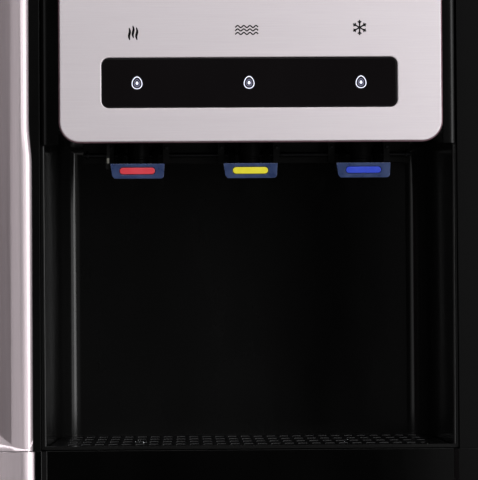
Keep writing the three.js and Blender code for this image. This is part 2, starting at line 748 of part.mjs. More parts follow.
// The child lock beside the hot lever: a button pushed in before the lever will move.
function hotLock() {
  const x = TAPS.hot - TAB.width / 2 - 1.6;
  const button = block(x - 1.25, x + 1.25, -180.2, -160, 862, 870);
  const hanger = block(x - 1, x + 1, -172, -162, 869, BAY.ceiling - 0.6);
  piece("hot_lock", join(button, hanger), FINISH.satin_black);
}

// ---------------------------------------------------------------- works inside
function tanks() {
  const hot = HOT_TANK;
  const hotTop = hot.bottom + hot.height;
  piece(
    "hot_tank",
    lathe(
      [
        [0, hot.bottom],
        [hot.radius - 6, hot.bottom],
        [hot.radius, hot.bottom + 6],
        [hot.radius, hotTop - 10],
        [hot.radius - 10, hotTop],
        [6, hotTop],
        [6, hotTop + 8],
        [0, hotTop + 8],
      ],
      hot.x,
      hot.y,
      24,
    ),
    FINISH.tank_steel,
  );
  const cold = COLD_TANK;
  const top = cold.bottom + cold.height;
  const inset = 12;
  piece(
    "cold_tank",
    lathe(
      [
        [0, cold.bottom + inset + GAP],
        [cold.radius, cold.bottom + inset + GAP],
        [cold.radius, top + 3],
        [0, top + 3],
      ],
      cold.x,
      cold.y,
      28,
    ),
    FINISH.tank_steel,
  );
  piece(
    "cold_tank_foam",
    lathe(
      [
        [0, cold.bottom],
        [cold.foam, cold.bottom],
        [cold.foam, top],
        [cold.radius + 0.5, top],
        [cold.radius + 0.5, cold.bottom + inset],
        [0, cold.bottom + inset],
      ],
      cold.x,
      cold.y,
      28,
    ),
    FINISH.foam,
  );
}

function compressor() {
  const { x, y, radius, height } = COMPRESSOR;
  const z = DECK.top + GAP;
  const dome = lathe(
    [
      [0, z + 6],
      [radius - 4, z + 6],
      [radius - 2, z + 40],
      [radius - 2, z + 52],
      [radius, z + 54],
      [radius, z + 58],
      [radius - 3, z + 60],
      [radius - 6, z + 90],
      [radius - 20, z + 112],
      [0, z + height],
    ],
    x,
    y,
    24,
  );
  const plate = block(x - 58, x + 58, y - 38, y + 38, z, z + 7);
  piece("compressor", join(dome, plate), FINISH.enamel);
}

// The condenser on the back: one tube run to and fro, with upright wires on both sides.
function condenser() {
  const tube = { radius: 2.4, y: REAR - 4, half: 132, runs: 11, bottom: 132, pitch: 44 };
  const bend = tube.pitch / 2;
  const top = tube.bottom + (tube.runs - 1) * tube.pitch;
  const straight = tube.half - bend;
  let coil = rod("x", tube.y, tube.bottom, -straight, straight + 1, tube.radius, 6);
  for (let run = 1; run < tube.runs; run++) {
    const z = tube.bottom + run * tube.pitch;
    const side = run % 2 ? 1 : -1;
    const line = rod("x", tube.y, z, -straight - 1, straight + 1, tube.radius, 6);
    coil = join(coil, line, returnBend(side * straight, side, tube.y, z - bend, bend, tube.radius));
  }
  const wire = { half: 1.2, spread: 104, count: 5, low: 116, high: top + 16 };
  for (let k = 0; k < wire.count; k++) {
    const x = -wire.spread + (2 * wire.spread * k) / (wire.count - 1);
    const [from, to] = k % 2 ? [tube.y + 1.4, tube.y + 4] : [tube.y - 4, tube.y - 1.4];
    coil = join(coil, block(x - wire.half, x + wire.half, from, to, wire.low, wire.high));
  }
  for (const x of [-wire.spread, wire.spread]) {
    for (const z of [150, top - 20]) {
      const out = Math.sign(x) * (HALF_WIDTH - 5);
      const [from, to] = [Math.min(x, out), Math.max(x, out)];
      const strap = block(from, to, tube.y - 6, tube.y - 3.6, z, z + 14);
      const leg = block(out - 1.2, out + 1.2, CASE.back + GAP, tube.y - 3.6, z, z + 14);
      coil = join(coil, strap, leg);
    }
  }
  piece("condenser", coil, FINISH.enamel);
}

// Half a ring that joins two neighbouring runs of the condenser tube.
function returnBend(x, side, y, z, bend, radius) {
  const arc = new THREE.Curve();
  arc.getPoint = (t) => {
    const angle = -Math.PI / 2 + Math.PI * t;
    return new THREE.Vector3(x + side * bend * Math.cos(angle), y, z + bend * Math.sin(angle));
  };
  const section = new THREE.Shape();
  section.absarc(0, 0, radius, 0, 2 * Math.PI, false);
  return solid(new THREE.ExtrudeGeometry(section, { steps: 6, curveSegments: 3, extrudePath: arc }));
}

function pump() {
  const z = DECK.top + GAP;
  const { x, y, half_x, half_y, height } = PUMP;
  const body = block(x - half_x, x + half_x, y - half_y, y, z, z + height);
  const motor = rod("y", x, z + height / 2, y - 1, y + half_y, 19, 20);
  const foot = block(x - half_x, x + half_x, y - half_y, y + half_y, z, z + 5);
  const port = rod("z", x, y - 24, z + height - 1, z + height + 8, 4, 12);
  piece("pump", join(body, motor, foot, port), FINISH.white_plastic);
}

function probe() {
  const { x, y, stem, head, bottom, neck, top } = PROBE;
  const wand = lathe(
    [
      [0, bottom],
      [stem - 1.5, bottom],
      [stem, bottom + 10],
      [stem, neck],
      [head, neck + 2],
      [head, top - 8],
      [head - 3, top - 4],
      [4, top - 4],
      [4, top],
      [0, top],
    ],
    x,
    y,
    20,
  );
  piece("probe", wand, FINISH.white_plastic);
}

function hoses() {
  const pumpTop = DECK.top + GAP + PUMP.height + 8;
  const suction = [
    [PROBE.x, PROBE.y, PROBE.top + GAP],
    [PROBE.x, PROBE.y, 640],
    [PROBE.x + 1, PROBE.y - 5, 662],
    [PROBE.x + 7, PROBE.y - 22, 678],
    [PUMP.x - PUMP.half_x - 12, PUMP.y - 24, 681],
    [PUMP.x - PUMP.half_x - GAP, PUMP.y - 24, 681],
  ];
  piece("suction_hose", hose(suction, 4, 16), FINISH.silicone);
  const coldTop = COLD_TANK.bottom + COLD_TANK.height + 3 + GAP;
  const delivery = [
    [PUMP.x, PUMP.y - 24, pumpTop + GAP],
    [PUMP.x, PUMP.y - 24, pumpTop + 14],
    [PUMP.x + 8, PUMP.y - 16, 726],
    [-60, 90, 742],
    [-26, 119, 762],
    [HOSE_PASS.x, HOSE_PASS.y, 800],
    [HOSE_PASS.x, HOSE_PASS.y, 950],
    [-20, 118, 990],
    [10, 96, 1012],
    [42, 82, 1008],
    [COLD_TANK.x - 12, COLD_TANK.y, 998],
    [COLD_TANK.x - 12, COLD_TANK.y, coldTop],
  ];
  piece("delivery_hose", hose(delivery, 4, 44), FINISH.silicone);
  const hotTop = HOT_TANK.bottom + HOT_TANK.height + 8 + GAP;
  const starts = {
    hot: [HOT_TANK.x, HOT_TANK.y, hotTop],
    room: [COLD_TANK.x - 26, COLD_TANK.y - 30, coldTop],
    cold: [COLD_TANK.x + 14, COLD_TANK.y - 34, coldTop],
  };
  for (const [name, x] of Object.entries(TAPS)) {
    const [sx, sy, sz] = starts[name];
    const route = [
      [sx, sy, sz],
      [sx, sy, sz + 8],
      [(2 * sx + x) / 3, sy - 50, 992],
      [(sx + 2 * x) / 3, -60, 972],
      [x, -128, 948],
      [x, NOZZLE.y - 1, 930],
      [x, NOZZLE.y, VALVE.barb_top + GAP],
    ];
    piece(`tube_${name}`, hose(route, 3.6, 26), FINISH.silicone);
  }
}

// ---------------------------------------------------------------- rear fittings
function rearFittings() {
  for (const [k, x] of SWITCH.x.entries()) {
    // A rocker lies 8 degrees off the panel, one end pressed in.
    const outline = new THREE.Shape();
    const { half_z, half_x, y, z } = SWITCH;
    outline.moveTo(-6, -half_z + 1.5);
    outline.lineTo(3.2, -half_z + 1.5);
    outline.quadraticCurveTo(0.6, 0, 3.2, half_z - 1.5);
    outline.lineTo(-6, half_z - 1.5);
    const geometry = new THREE.ExtrudeGeometry(outline, {
      depth: 2 * half_x - 2,
      bevelEnabled: false,
      curveSegments: 6,
    });
    geometry.applyMatrix4(BASIS.side).translate(-half_x + 1, 0, 0);
    geometry.rotateX(THREE.MathUtils.degToRad(SWITCH.tilt)).translate(x, y, z);
    piece(k ? "switch_cold" : "switch_hot", solid(geometry), k ? FINISH.enamel : FINISH.red);
  }
  const { x, z, half_x, half_z, opening } = INLET;
  const flange = prism(
    "front",
    roundedRect(x - half_x, x + half_x, z - half_z, z + half_z, 4),
    CASE.back - SHEET + 0.2,
    CASE.back + 3,
    4,
  );
  const body = block(x - opening.x + GAP, x + opening.x - GAP, 126, CASE.back, z - 10, z + 10);
  const socket = block(x - 11.5, x + 11.5, 134, CASE.back + 4, z - 7.5, z + 7.5);
  let inlet = cut(join(flange, body), socket);
  for (const [px, pz] of [
    [-7, -1.5],
    [0, 2.5],
    [7, -1.5],
  ]) {
    const blade = block(x + px - 1, x + px + 1, 133, CASE.back - 1, z + pz - 2, z + pz + 2);
    inlet = join(inlet, blade);
  }
  piece("power_inlet", inlet, FINISH.enamel);
  const cap = cut(
    rod("y", DRAIN.x, DRAIN.z, CASE.back + 1.5, DRAIN.tip + 3.5, DRAIN.cap, 24),
    rod("y", DRAIN.x, DRAIN.z, CASE.back, DRAIN.tip + GAP, DRAIN.stub + GAP, 24),
  );
  piece("drain_cap", cap, FINISH.white_plastic);
}

// ---------------------------------------------------------------- door
function doorPanel() {
  const { front, back, strip, recess, skin, bottom, top } = DOOR;
  const chamfer = { outer: 129.3, inner: 126.2 };
  const panel = new THREE.Shape();
  panel.moveTo(-chamfer.inner, recess);
  panel.lineTo(chamfer.inner, recess);
  panel.lineTo(chamfer.outer, front);
  panel.lineTo(HALF_WIDTH - PILLAR.corner, front);
  panel.absarc(HALF_WIDTH - PILLAR.corner, front + PILLAR.corner, PILLAR.corner, -Math.PI / 2, 0, false);
  panel.absarc(HALF_WIDTH - 3, back - 3, 3, 0, Math.PI / 2, false);
  panel.lineTo(strip, back);
  panel.lineTo(strip, skin);
  panel.lineTo(-strip, skin);
  panel.lineTo(-strip, back);
  panel.lineTo(-HALF_WIDTH + 3, back);
  panel.lineTo(-HALF_WIDTH, back - 3);
  panel.lineTo(-HALF_WIDTH, TRIM.back + GAP);
  panel.lineTo(TRIM.inner + 1 + GAP, TRIM.back + GAP);
  panel.lineTo(TRIM.inner + 1 + GAP, front);
  panel.lineTo(-chamfer.outer, front);
  const pins = [
    rod("z", HINGE.x, HINGE.y, bottom - 1, bottom + HINGE.depth + 2, HINGE.bore, 16),
    rod("z", HINGE.x, HINGE.y, top - HINGE.depth, top + 1, HINGE.bore, 16),
  ];
  piece("door_panel", cut(prism("plan", panel, bottom, top, 5), ...pins), FINISH.gloss_black);
}

function doorLiner() {
  const { half, bottom, top, back, floor, rim, corner } = LINER;
  const slab = block(-half, half, DOOR.skin + GAP, back, bottom, top);
  const dish = prism(
    "front",
    roundedRect(-half + rim, half - rim, bottom + rim, top - 2 * rim, corner),
    floor,
    back + 1,
    5,
  );
  const strike = block(
    CATCH.left - 1,
    CATCH.right + 1,
    back - CATCH.strike,
    back + 1,
    CATCH.bottom - 1,
    top - 2,
  );
  piece("door_liner", cut(slab, dish, strike), FINISH.grey_plastic);
}

function doorTrim() {
  const outline = fullTrimOutline(TRIM.inner + 1);
  piece("door_trim", prism("plan", outline, DOOR.bottom, DOOR.top, 5), FINISH.brushed);
}

function doorHardware() {
  const { x, y, pin, inner, outer } = HINGE;
  const back = CASE.front - GAP;
  const sheet = { bottom: 56.5, top: 59.5, leg_bottom: 30, leg: 2 };
  const plate = block(inner, outer, y - 6, back, sheet.bottom, sheet.top);
  const leg = block(inner, outer, back - sheet.leg, back, sheet.leg_bottom, sheet.top - 1);
  const lowerPin = rod("z", x, y, sheet.top - 1, DOOR.bottom + 15, pin, 16);
  const washer = rod("z", x, y, sheet.top - 1, DOOR.bottom - GAP, HINGE.washer, 16);
  piece("hinge_bottom", join(plate, leg, lowerPin, washer), FINISH.steel);
  const upperPin = rod("z", x, y, DOOR.top - 13, PILLAR.bottom + 13, pin, 16);
  piece("hinge_pin_top", upperPin, FINISH.steel);
  const front = LINER.back + GAP;
  const magnet = block(
    CATCH.left,
    CATCH.right,
    front,
    front + CATCH.depth,
    CATCH.bottom,
    DECK.bottom - GAP,
  );
  piece("door_catch", magnet, FINISH.white_plastic);
}

feet();
basePan();
sidePanel("left_side_panel", -1);
sidePanel("right_side_panel", 1);
rearPanel();
compartmentBack();
bottleShelf();
decks();
topCover();
pillars();
leftTrim();
headShell();
controlFascia();
indicators();
bayLiner();
dripTray();
dripGrille();
for (const [name, x] of Object.entries(TAPS)) {
  faucet(name, x);
  lever(name, x);
}
markers();
leverRail();
hotLock();
tanks();
compressor();
condenser();
pump();
probe();
hoses();
rearFittings();
doorPanel();
doorLiner();
doorTrim();
doorHardware();

export default cooler;
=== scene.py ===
"""Looks of a bottom load water cooler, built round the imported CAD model.

Pieces of the object are measured in millimetres, which the helpers turn into metres. The camera, the lights
and the patterns in the materials are in metres. +Z is up and the front faces -Y, as in the frame."""

import json
import math

import bmesh
import bpy
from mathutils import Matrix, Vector

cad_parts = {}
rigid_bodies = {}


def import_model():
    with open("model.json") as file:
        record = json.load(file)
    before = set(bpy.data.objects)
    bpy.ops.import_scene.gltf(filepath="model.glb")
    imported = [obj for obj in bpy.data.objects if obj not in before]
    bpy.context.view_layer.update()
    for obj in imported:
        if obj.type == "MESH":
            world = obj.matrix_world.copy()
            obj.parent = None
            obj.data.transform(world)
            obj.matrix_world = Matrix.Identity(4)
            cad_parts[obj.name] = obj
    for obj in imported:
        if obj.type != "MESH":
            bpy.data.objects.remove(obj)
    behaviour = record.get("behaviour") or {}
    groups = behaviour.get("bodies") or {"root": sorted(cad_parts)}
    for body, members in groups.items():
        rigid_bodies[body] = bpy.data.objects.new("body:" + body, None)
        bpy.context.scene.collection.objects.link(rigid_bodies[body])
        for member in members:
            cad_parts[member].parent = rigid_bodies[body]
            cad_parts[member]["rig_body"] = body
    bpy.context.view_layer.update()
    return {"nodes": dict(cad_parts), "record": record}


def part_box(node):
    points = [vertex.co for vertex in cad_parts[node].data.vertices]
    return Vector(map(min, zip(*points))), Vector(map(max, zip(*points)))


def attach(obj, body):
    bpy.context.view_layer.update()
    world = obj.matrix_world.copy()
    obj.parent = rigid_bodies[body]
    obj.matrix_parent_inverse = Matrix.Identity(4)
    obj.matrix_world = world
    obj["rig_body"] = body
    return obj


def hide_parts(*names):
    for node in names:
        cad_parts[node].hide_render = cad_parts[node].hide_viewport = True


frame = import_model()

MM = 0.001
SLOT_OF = {row["node"]: row["material_slot"] for row in frame["record"]["subparts"]}
TAPS = {"hot": -69.0, "room": 1.0, "cold": 71.0}  # x of each tap


def box_mm(node):
    """The lowest and highest corners of a CAD node, in millimetres."""
    low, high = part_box(node)
    return [v / MM for v in low], [v / MM for v in high]


def place_object(name, data):
    """A new object in the scene."""
    made = bpy.data.objects.new(name, data)
    bpy.context.scene.collection.objects.link(made)
    return made


# ---------- camera
IMAGE = (478, 480)  # the photograph's frame, in pixels
FOCAL_PIXELS = 2832.0  # found from points measured on the photograph
SENSOR = 36.0
CAMERA_PLACE = (-0.0416, -1.9343, 0.7766)
CAMERA_TURN = (1.59422, 0.00643, -0.01992)  # radians about X, Y and Z


def place_camera():
    data = bpy.data.cameras.new("camera")
    data.sensor_width = SENSOR
    data.lens = FOCAL_PIXELS * SENSOR / max(IMAGE)
    data.clip_start = 0.05
    data.clip_end = 50.0
    camera = place_object("camera", data)
    camera.location = CAMERA_PLACE
    camera.rotation_euler = CAMERA_TURN
    bpy.context.scene.camera = camera


# ---------- materials
def srgb(red, green, blue):
    """A colour as it is seen on screen, 0 to 255, as the linear colour that a shader takes."""
    linear = []
    for value in (red, green, blue):
        value /= 255.0
        linear.append(value / 12.92 if value <= 0.04045 else ((value + 0.055) / 1.055) ** 2.4)
    return (*linear, 1.0)


class Surface:
    """A procedural material under construction: one principled shader and the noise that varies it."""

    def __init__(self, name, colour, roughness, metallic=0.0, specular=0.5):
        self.material = bpy.data.materials.new(name)
        self.material.use_nodes = True
        self.tree = self.material.node_tree
        self.shader = self.tree.nodes["Principled BSDF"]
        self.set("Base Color", colour)
        self.set("Roughness", roughness)
        self.set("Metallic", metallic)
        self.set("Specular IOR Level", specular)
        self.place = self.node("TexCoord").outputs["Object"]
        self.colour = None  # the varied colour, once there is one
        self.height = None  # the last bump layer
        self.material.diffuse_color = colour

    def node(self, kind, **values):
        """A new shader node, with values for the inputs that are named."""
        node = self.tree.nodes.new("ShaderNode" + kind)
        for name, value in values.items():
            node.inputs[name.replace("_", " ")].default_value = value
        return node

    def link(self, output, target):
        self.tree.links.new(output, target)

    def set(self, name, value):
        self.shader.inputs[name].default_value = value

    def noise(self, scale, stretch=(1, 1, 1), detail=3.0, roughness=0.5):
        mapping = self.node("Mapping", Scale=stretch)
        self.link(self.place, mapping.inputs["Vector"])
        noise = self.node("TexNoise", Scale=scale, Detail=detail, Roughness=roughness)
        self.link(mapping.outputs["Vector"], noise.inputs["Vector"])
        return noise.outputs["Fac"]

    def cells(self, scale, feature="F1", output="Color"):
        cells = self.node("TexVoronoi", Scale=scale)
        cells.feature = feature
        self.link(self.place, cells.inputs["Vector"])
        return cells.outputs[output]

    def spread(self, value, low, high, from_low=0.3, from_high=0.7):
        """A value between two limits, drawn out to lie between low and high."""
        spread = self.node("MapRange", From_Min=from_low, From_Max=from_high, To_Min=low, To_Max=high)
        self.link(value, spread.inputs["Value"])
        return spread.outputs["Result"]

    def vary_roughness(self, value, low, high):
        self.link(self.spread(value, low, high), self.shader.inputs["Roughness"])

    def blend(self, factor, second):
        """Makes a mix with a second colour the base colour, and returns the first colour's input."""
        mix = self.node("Mix")
        mix.data_type = "RGBA"
        self.link(factor, mix.inputs["Factor"])
        mix.inputs["B"].default_value = second
        self.colour = mix.outputs["Result"]
        self.link(self.colour, self.shader.inputs["Base Color"])
        return mix.inputs["A"]

    def vary_colour(self, value, first, second):
        self.blend(self.spread(value, 0.0, 1.0), second).default_value = first

    def wear(self, colour, amount):
        """Edges rub paler: the more a place sticks out, the more of the second colour it shows."""
        starts, full = 0.52, 0.6  # pointiness where the wear starts and where it is full
        pointiness = self.node("NewGeometry").outputs["Pointiness"]
        unworn = self.colour
        edge = self.spread(pointiness, 0.0, amount, starts, full)
        self.link(unworn, self.blend(edge, colour))

    def bump(self, value, strength, distance):
        """Adds a bump layer over those already there."""
        bump = self.node("Bump", Strength=strength, Distance=distance)
        self.link(value, bump.inputs["Height"])
        if self.height:
            self.link(self.height, bump.inputs["Normal"])
        self.height = bump.outputs["Normal"]
        self.link(self.height, self.shader.inputs["Normal"])


def brushed(name, first, second, roughness, along, depth=1.0, spread=0.0, vary=0.06):
    """Brushed metal, with its strokes along one axis. Spread draws highlights out across upright strokes."""
    stroke = [1.0, 1.0, 1.0]
    stroke["xyz".index(along)] = 0.012
    surface = Surface(name, first, roughness, metallic=1.0)
    fine = surface.noise(2600.0, stroke, 4.0, 0.65)
    broad = surface.noise(420.0, stroke, 3.0)
    cloud = surface.noise(9.0, detail=5.0)
    surface.vary_colour(fine, first, second)
    surface.vary_roughness(broad, roughness - vary, roughness + vary)
    surface.bump(fine, 0.06 * depth, 0.00004)
    surface.bump(broad, 0.05 * depth, 0.00006)
    surface.bump(cloud, 0.02 * depth, 0.0004)
    if spread:
        tangent = surface.node("Tangent")
        tangent.direction_type = "RADIAL"
        tangent.axis = "Z"
        surface.link(tangent.outputs["Tangent"], surface.shader.inputs["Tangent"])
        surface.set("Anisotropic", spread)
    return surface.material


def gloss(name, colour, paler, roughness, specular, ripple=0.05):
    """Glossy moulded plastic: faint flow ripple, smears and fine hairline scratches."""
    surface = Surface(name, colour, roughness, specular=specular)
    smear = surface.noise(14.0, (1, 1, 0.35), 6.0, 0.6)
    hair = surface.noise(900.0, (1, 0.08, 0.3), 2.0)
    surface.vary_colour(smear, colour, paler)
    surface.vary_roughness(smear, roughness * 0.75, roughness * 1.6)
    surface.bump(surface.noise(55.0, detail=1.0), ripple, 0.0002)
    surface.bump(hair, 0.02, 0.00003)
    return surface.material


def satin(name, colour, paler, roughness, specular, grain=1300.0, depth=0.12):
    """Moulded plastic with a fine even grain."""
    surface = Surface(name, colour, roughness, specular=specular)
    fine = surface.noise(grain, detail=2.0, roughness=0.7)
    cloud = surface.noise(18.0, detail=5.0)
    surface.vary_colour(cloud, colour, paler)
    surface.vary_roughness(fine, roughness - 0.03, roughness + 0.04)
    surface.bump(fine, depth, 0.00012)
    return surface.material


def galvanised():
    surface = Surface("galvanised_steel", srgb(158, 161, 164), 0.44, metallic=0.85)
    spangle = surface.cells(240.0)
    surface.vary_colour(spangle, srgb(150, 154, 157), srgb(168, 171, 174))
    surface.vary_roughness(spangle, 0.4, 0.48)
    surface.bump(surface.noise(700.0, detail=4.0), 0.06, 0.0001)
    return surface.material


def powder_coat():
    """Textured black paint on folded sheet, rubbed a little grey along the folds."""
    surface = Surface("powder_coat", srgb(24, 24, 26), 0.4, specular=0.4)
    orange_peel = surface.noise(620.0, detail=3.0, roughness=0.6)
    cloud = surface.noise(7.0, detail=6.0)
    surface.vary_colour(cloud, srgb(21, 21, 23), srgb(30, 30, 32))
    surface.wear(srgb(92, 92, 95), 0.3)
    surface.vary_roughness(orange_peel, 0.34, 0.5)
    surface.bump(orange_peel, 0.16, 0.00025)
    surface.bump(cloud, 0.02, 0.001)
    return surface.material


def translucent(name, colour, paler, roughness, scatter, specular=0.4):
    """Milky plastic or rubber: light scatters a little way in, under a thin clear skin."""
    surface = Surface(name, colour, roughness, specular=specular)
    cloud = surface.noise(160.0, detail=4.0)
    surface.vary_colour(cloud, colour, paler)
    surface.vary_roughness(cloud, roughness - 0.05, roughness + 0.08)
    surface.bump(surface.noise(1500.0, detail=2.0), 0.05, 0.00006)
    surface.set("Subsurface Weight", scatter)
    surface.set("Subsurface Radius", (0.0012, 0.0012, 0.0016))
    surface.set("Coat Weight", 0.25)
    surface.set("Coat Roughness", 0.18)
    return surface.material


def glowing(name, colour, strength):
    """A lit mark, with a faint grain."""
    surface = Surface(name, colour, 0.3)
    grain = surface.noise(900.0, detail=2.0)
    red, green, blue, opacity = colour
    surface.vary_colour(grain, colour, (0.9 * red, 0.9 * green, 0.9 * blue, opacity))
    surface.bump(grain, 0.03, 0.00005)
    surface.set("Emission Color", colour)
    surface.set("Emission Strength", strength)
    return surface.material


def foam():
    surface = Surface("foam", srgb(226, 224, 208), 0.9, specular=0.2)
    bubbles = surface.cells(480.0, output="Distance")
    surface.vary_colour(surface.noise(40.0), srgb(222, 218, 198), srgb(234, 232, 220))
    surface.bump(bubbles, 0.4, 0.0006)
    return surface.material


def circuit_board():
    surface = Surface("circuit_board", srgb(18, 82, 46), 0.35)
    tracks = surface.cells(260.0, feature="DISTANCE_TO_EDGE", output="Distance")
    mask = surface.spread(tracks, 0.0, 1.0, 0.02, 0.05)
    surface.vary_colour(mask, srgb(34, 120, 66), srgb(14, 70, 38))
    surface.bump(mask, 0.1, 0.0001)
    return surface.material


def water():
    surface = Surface("water", srgb(235, 240, 242), 0.02)
    surface.set("Transmission Weight", 1.0)
    surface.set("IOR", 1.33)
    surface.bump(surface.noise(400.0), 0.02, 0.0001)
    return surface.material


STRIP_LIGHT = srgb(218, 205, 210)
STRIP_DARK = srgb(208, 195, 200)
FASCIA_LIGHT = srgb(222, 215, 219)
FASCIA_DARK = srgb(216, 208, 213)
MATERIALS = {  # by material slot, or by the name of a shade of one
    "brushed_steel": brushed("brushed_steel", STRIP_LIGHT, STRIP_DARK, 0.38, "z", 0.3, 0.5, 0.03),
    "fascia_steel": brushed("fascia_steel", FASCIA_LIGHT, FASCIA_DARK, 0.51, "x", 0.2, vary=0.012),
    # The rim's steel is a dark mauve copy of the fascia steel: painted shade on the plate's rolled edge.
    "rim_steel_painted_shade": brushed("rim_steel_painted_shade", srgb(124, 98, 106), srgb(114, 90, 98), 0.5, "x", depth=0.2),
    "side_paint": powder_coat(),
    "gloss_black": gloss("gloss_black", srgb(3, 3, 3), srgb(5, 5, 5), 0.08, 0.26),
    "bay_black": gloss("bay_black", srgb(17, 17, 17), srgb(20, 20, 20), 0.11, 0.24, 0.02),
    "pillar_black": gloss("pillar_black", srgb(7, 7, 7), srgb(10, 10, 10), 0.2, 0.07, 0.02),
    "head_black": gloss("head_black", srgb(3, 3, 3), srgb(5, 5, 5), 0.14, 0.14, 0.02),
    "satin_black": satin("satin_black", srgb(11, 11, 12), srgb(15, 15, 16), 0.38, 0.25),
    "tap_black": satin("tap_black", srgb(5, 5, 5), srgb(8, 8, 8), 0.46, 0.08, 1500.0, 0.08),
    "grille_black": gloss("grille_black", srgb(8, 8, 9), srgb(11, 11, 13), 0.24, 0.34, 0.03),
    "nozzle_black": gloss("nozzle_black", srgb(5, 5, 5), srgb(8, 8, 8), 0.42, 0.02, 0.02),
    "cover_black": satin("cover_black", srgb(15, 15, 16), srgb(19, 19, 20), 0.46, 0.3, 1700.0, 0.09),
    "window": gloss("window_lens", srgb(14, 12, 13), srgb(17, 15, 16), 0.06, 0.12, 0.02),
    "lever_navy": translucent("lever_navy", srgb(32, 47, 84), srgb(44, 60, 98), 0.3, 0.25),
    "marker_red": translucent("marker_red", srgb(194, 50, 62), srgb(202, 60, 72), 0.42, 0.15, 0.25),
    "marker_yellow": translucent("marker_yellow", srgb(212, 202, 42), srgb(220, 210, 56), 0.42, 0.15, 0.25),
    "marker_blue": translucent("marker_blue", srgb(34, 58, 182), srgb(44, 70, 190), 0.42, 0.15, 0.25),
    "lamp": glowing("lamp_white", srgb(226, 228, 246), 0.55),
    "lamp_grey": glowing("lamp_grey", srgb(120, 120, 146), 0.1),
    "galvanised": galvanised(),
    "liner_grey": satin("liner_grey", srgb(140, 142, 145), srgb(150, 152, 154), 0.5, 0.35, 800.0),
    "white_plastic": satin("white_plastic", srgb(216, 217, 213), srgb(224, 225, 222), 0.42, 0.4, 900.0),
    "foam": foam(),
    "tank_steel": brushed("tank_steel", srgb(205, 206, 208), srgb(186, 188, 190), 0.28, "z"),
    "enamel": gloss("black_enamel", srgb(16, 16, 17), srgb(24, 24, 25), 0.3, 0.4, 0.14),
    "silicone": translucent("silicone", srgb(218, 223, 224), srgb(228, 232, 232), 0.38, 0.4),
    "rubber": satin("rubber", srgb(20, 20, 21), srgb(30, 30, 30), 0.8, 0.2, 500.0, 0.2),
    "board": circuit_board(),
    "gasket_grey": satin("gasket_grey", srgb(66, 67, 70), srgb(76, 77, 80), 0.62, 0.3, 900.0, 0.1),
    "copper": brushed("copper", srgb(196, 122, 88), srgb(176, 106, 76), 0.34, "z"),
    "steel": brushed("zinc_steel", srgb(182, 183, 185), srgb(164, 166, 168), 0.34, "x"),
    "dark_steel": brushed("dark_steel", srgb(24, 24, 25), srgb(19, 19, 20), 0.45, "x"),
    "lock_grey": satin("lock_grey", srgb(84, 83, 77), srgb(97, 96, 90), 0.4, 0.25),
    "print_black": satin("print_black", srgb(5, 4, 5), srgb(8, 7, 8), 0.6, 0.06, 2500.0, 0.05),
    "water": water(),
}


# ---------- mesh helpers
SHARP = 38  # degrees between faces, past which an edge stays sharp
FLAT = 1.0  # degrees between faces, under which they are made one
WELD = 0.02  # between points of a CAD node that are made one
TOUCH = 0.0005  # the same for the points of a filled outline


def finish_piece(
    name, mesh, slot, replaces=(), material=None, body="cabinet", bevel=0.0, segments=2, sharp=SHARP
):
    """Makes a mesh a piece of the object: rounds and smooths it, and ties it to its CAD body."""
    made = place_object(name, mesh)
    if bevel:
        rounding = made.modifiers.new("rounding", "BEVEL")
        rounding.width = bevel * MM
        rounding.segments = segments
        rounding.limit_method = "ANGLE"
        rounding.angle_limit = math.radians(sharp)
    settle(made, sharp)
    made.data.materials.clear()
    made.data.materials.append(MATERIALS[material or slot])
    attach(made, body)
    if replaces:
        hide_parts(*replaces)
    return made


def settle(made, sharp):
    """Applies the modifiers, smooths the faces up to sharp edges and weighs the normals by face area."""
    apply_modifiers(made)
    sheet = bmesh.new()
    sheet.from_mesh(made.data)
    for face in sheet.faces:
        face.smooth = True
    for edge in sheet.edges:
        if len(edge.link_faces) == 2:
            edge.smooth = edge.calc_face_angle() < math.radians(sharp)
    sheet.to_mesh(made.data)
    sheet.free()
    weigh = made.modifiers.new("weigh", "WEIGHTED_NORMAL")
    weigh.keep_sharp = True
    apply_modifiers(made)


def apply_modifiers(made):
    bpy.context.view_layer.update()
    graph = bpy.context.evaluated_depsgraph_get()
    evaluated = made.evaluated_get(graph)
    final = bpy.data.meshes.new_from_object(evaluated, preserve_all_data_layers=True, depsgraph=graph)
    made.modifiers.clear()
    made.data = final


def to_mesh(name, sheet):
    """A bmesh as a new mesh."""
    mesh = bpy.data.meshes.new(name)
    sheet.to_mesh(mesh)
    sheet.free()
    return mesh


def as_mesh(name, sheet):
    """A bmesh in millimetres as a mesh in metres."""
    bmesh.ops.scale(sheet, vec=(MM, MM, MM), verts=sheet.verts)
    return to_mesh(name, sheet)


def dress(node, bevel, segments=2, material=None, sharp=SHARP):
    """Stands in for a CAD node with the same form, its edges rounded and its curves smooth."""
    source = frame["nodes"][node]
    sheet = bmesh.new()
    sheet.from_mesh(source.data)
    bmesh.ops.remove_doubles(sheet, verts=sheet.verts, dist=WELD * MM)
    flat = math.radians(FLAT)
    bmesh.ops.dissolve_limit(sheet, angle_limit=flat, verts=sheet.verts, edges=sheet.edges)
    name = node + "_shell"
    mesh = to_mesh(name, sheet)
    body = source["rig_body"]
    finish_piece(name, mesh, SLOT_OF[node], [node], material, body, bevel, segments, sharp)


AXES = {  # how an outline's u, v and depth lie on X, Y, Z
    "front": lambda u, v, w: (u, w, v),
    "plan": lambda u, v, w: (u, v, w),
    "side": lambda u, v, w: (w, u, v),
}


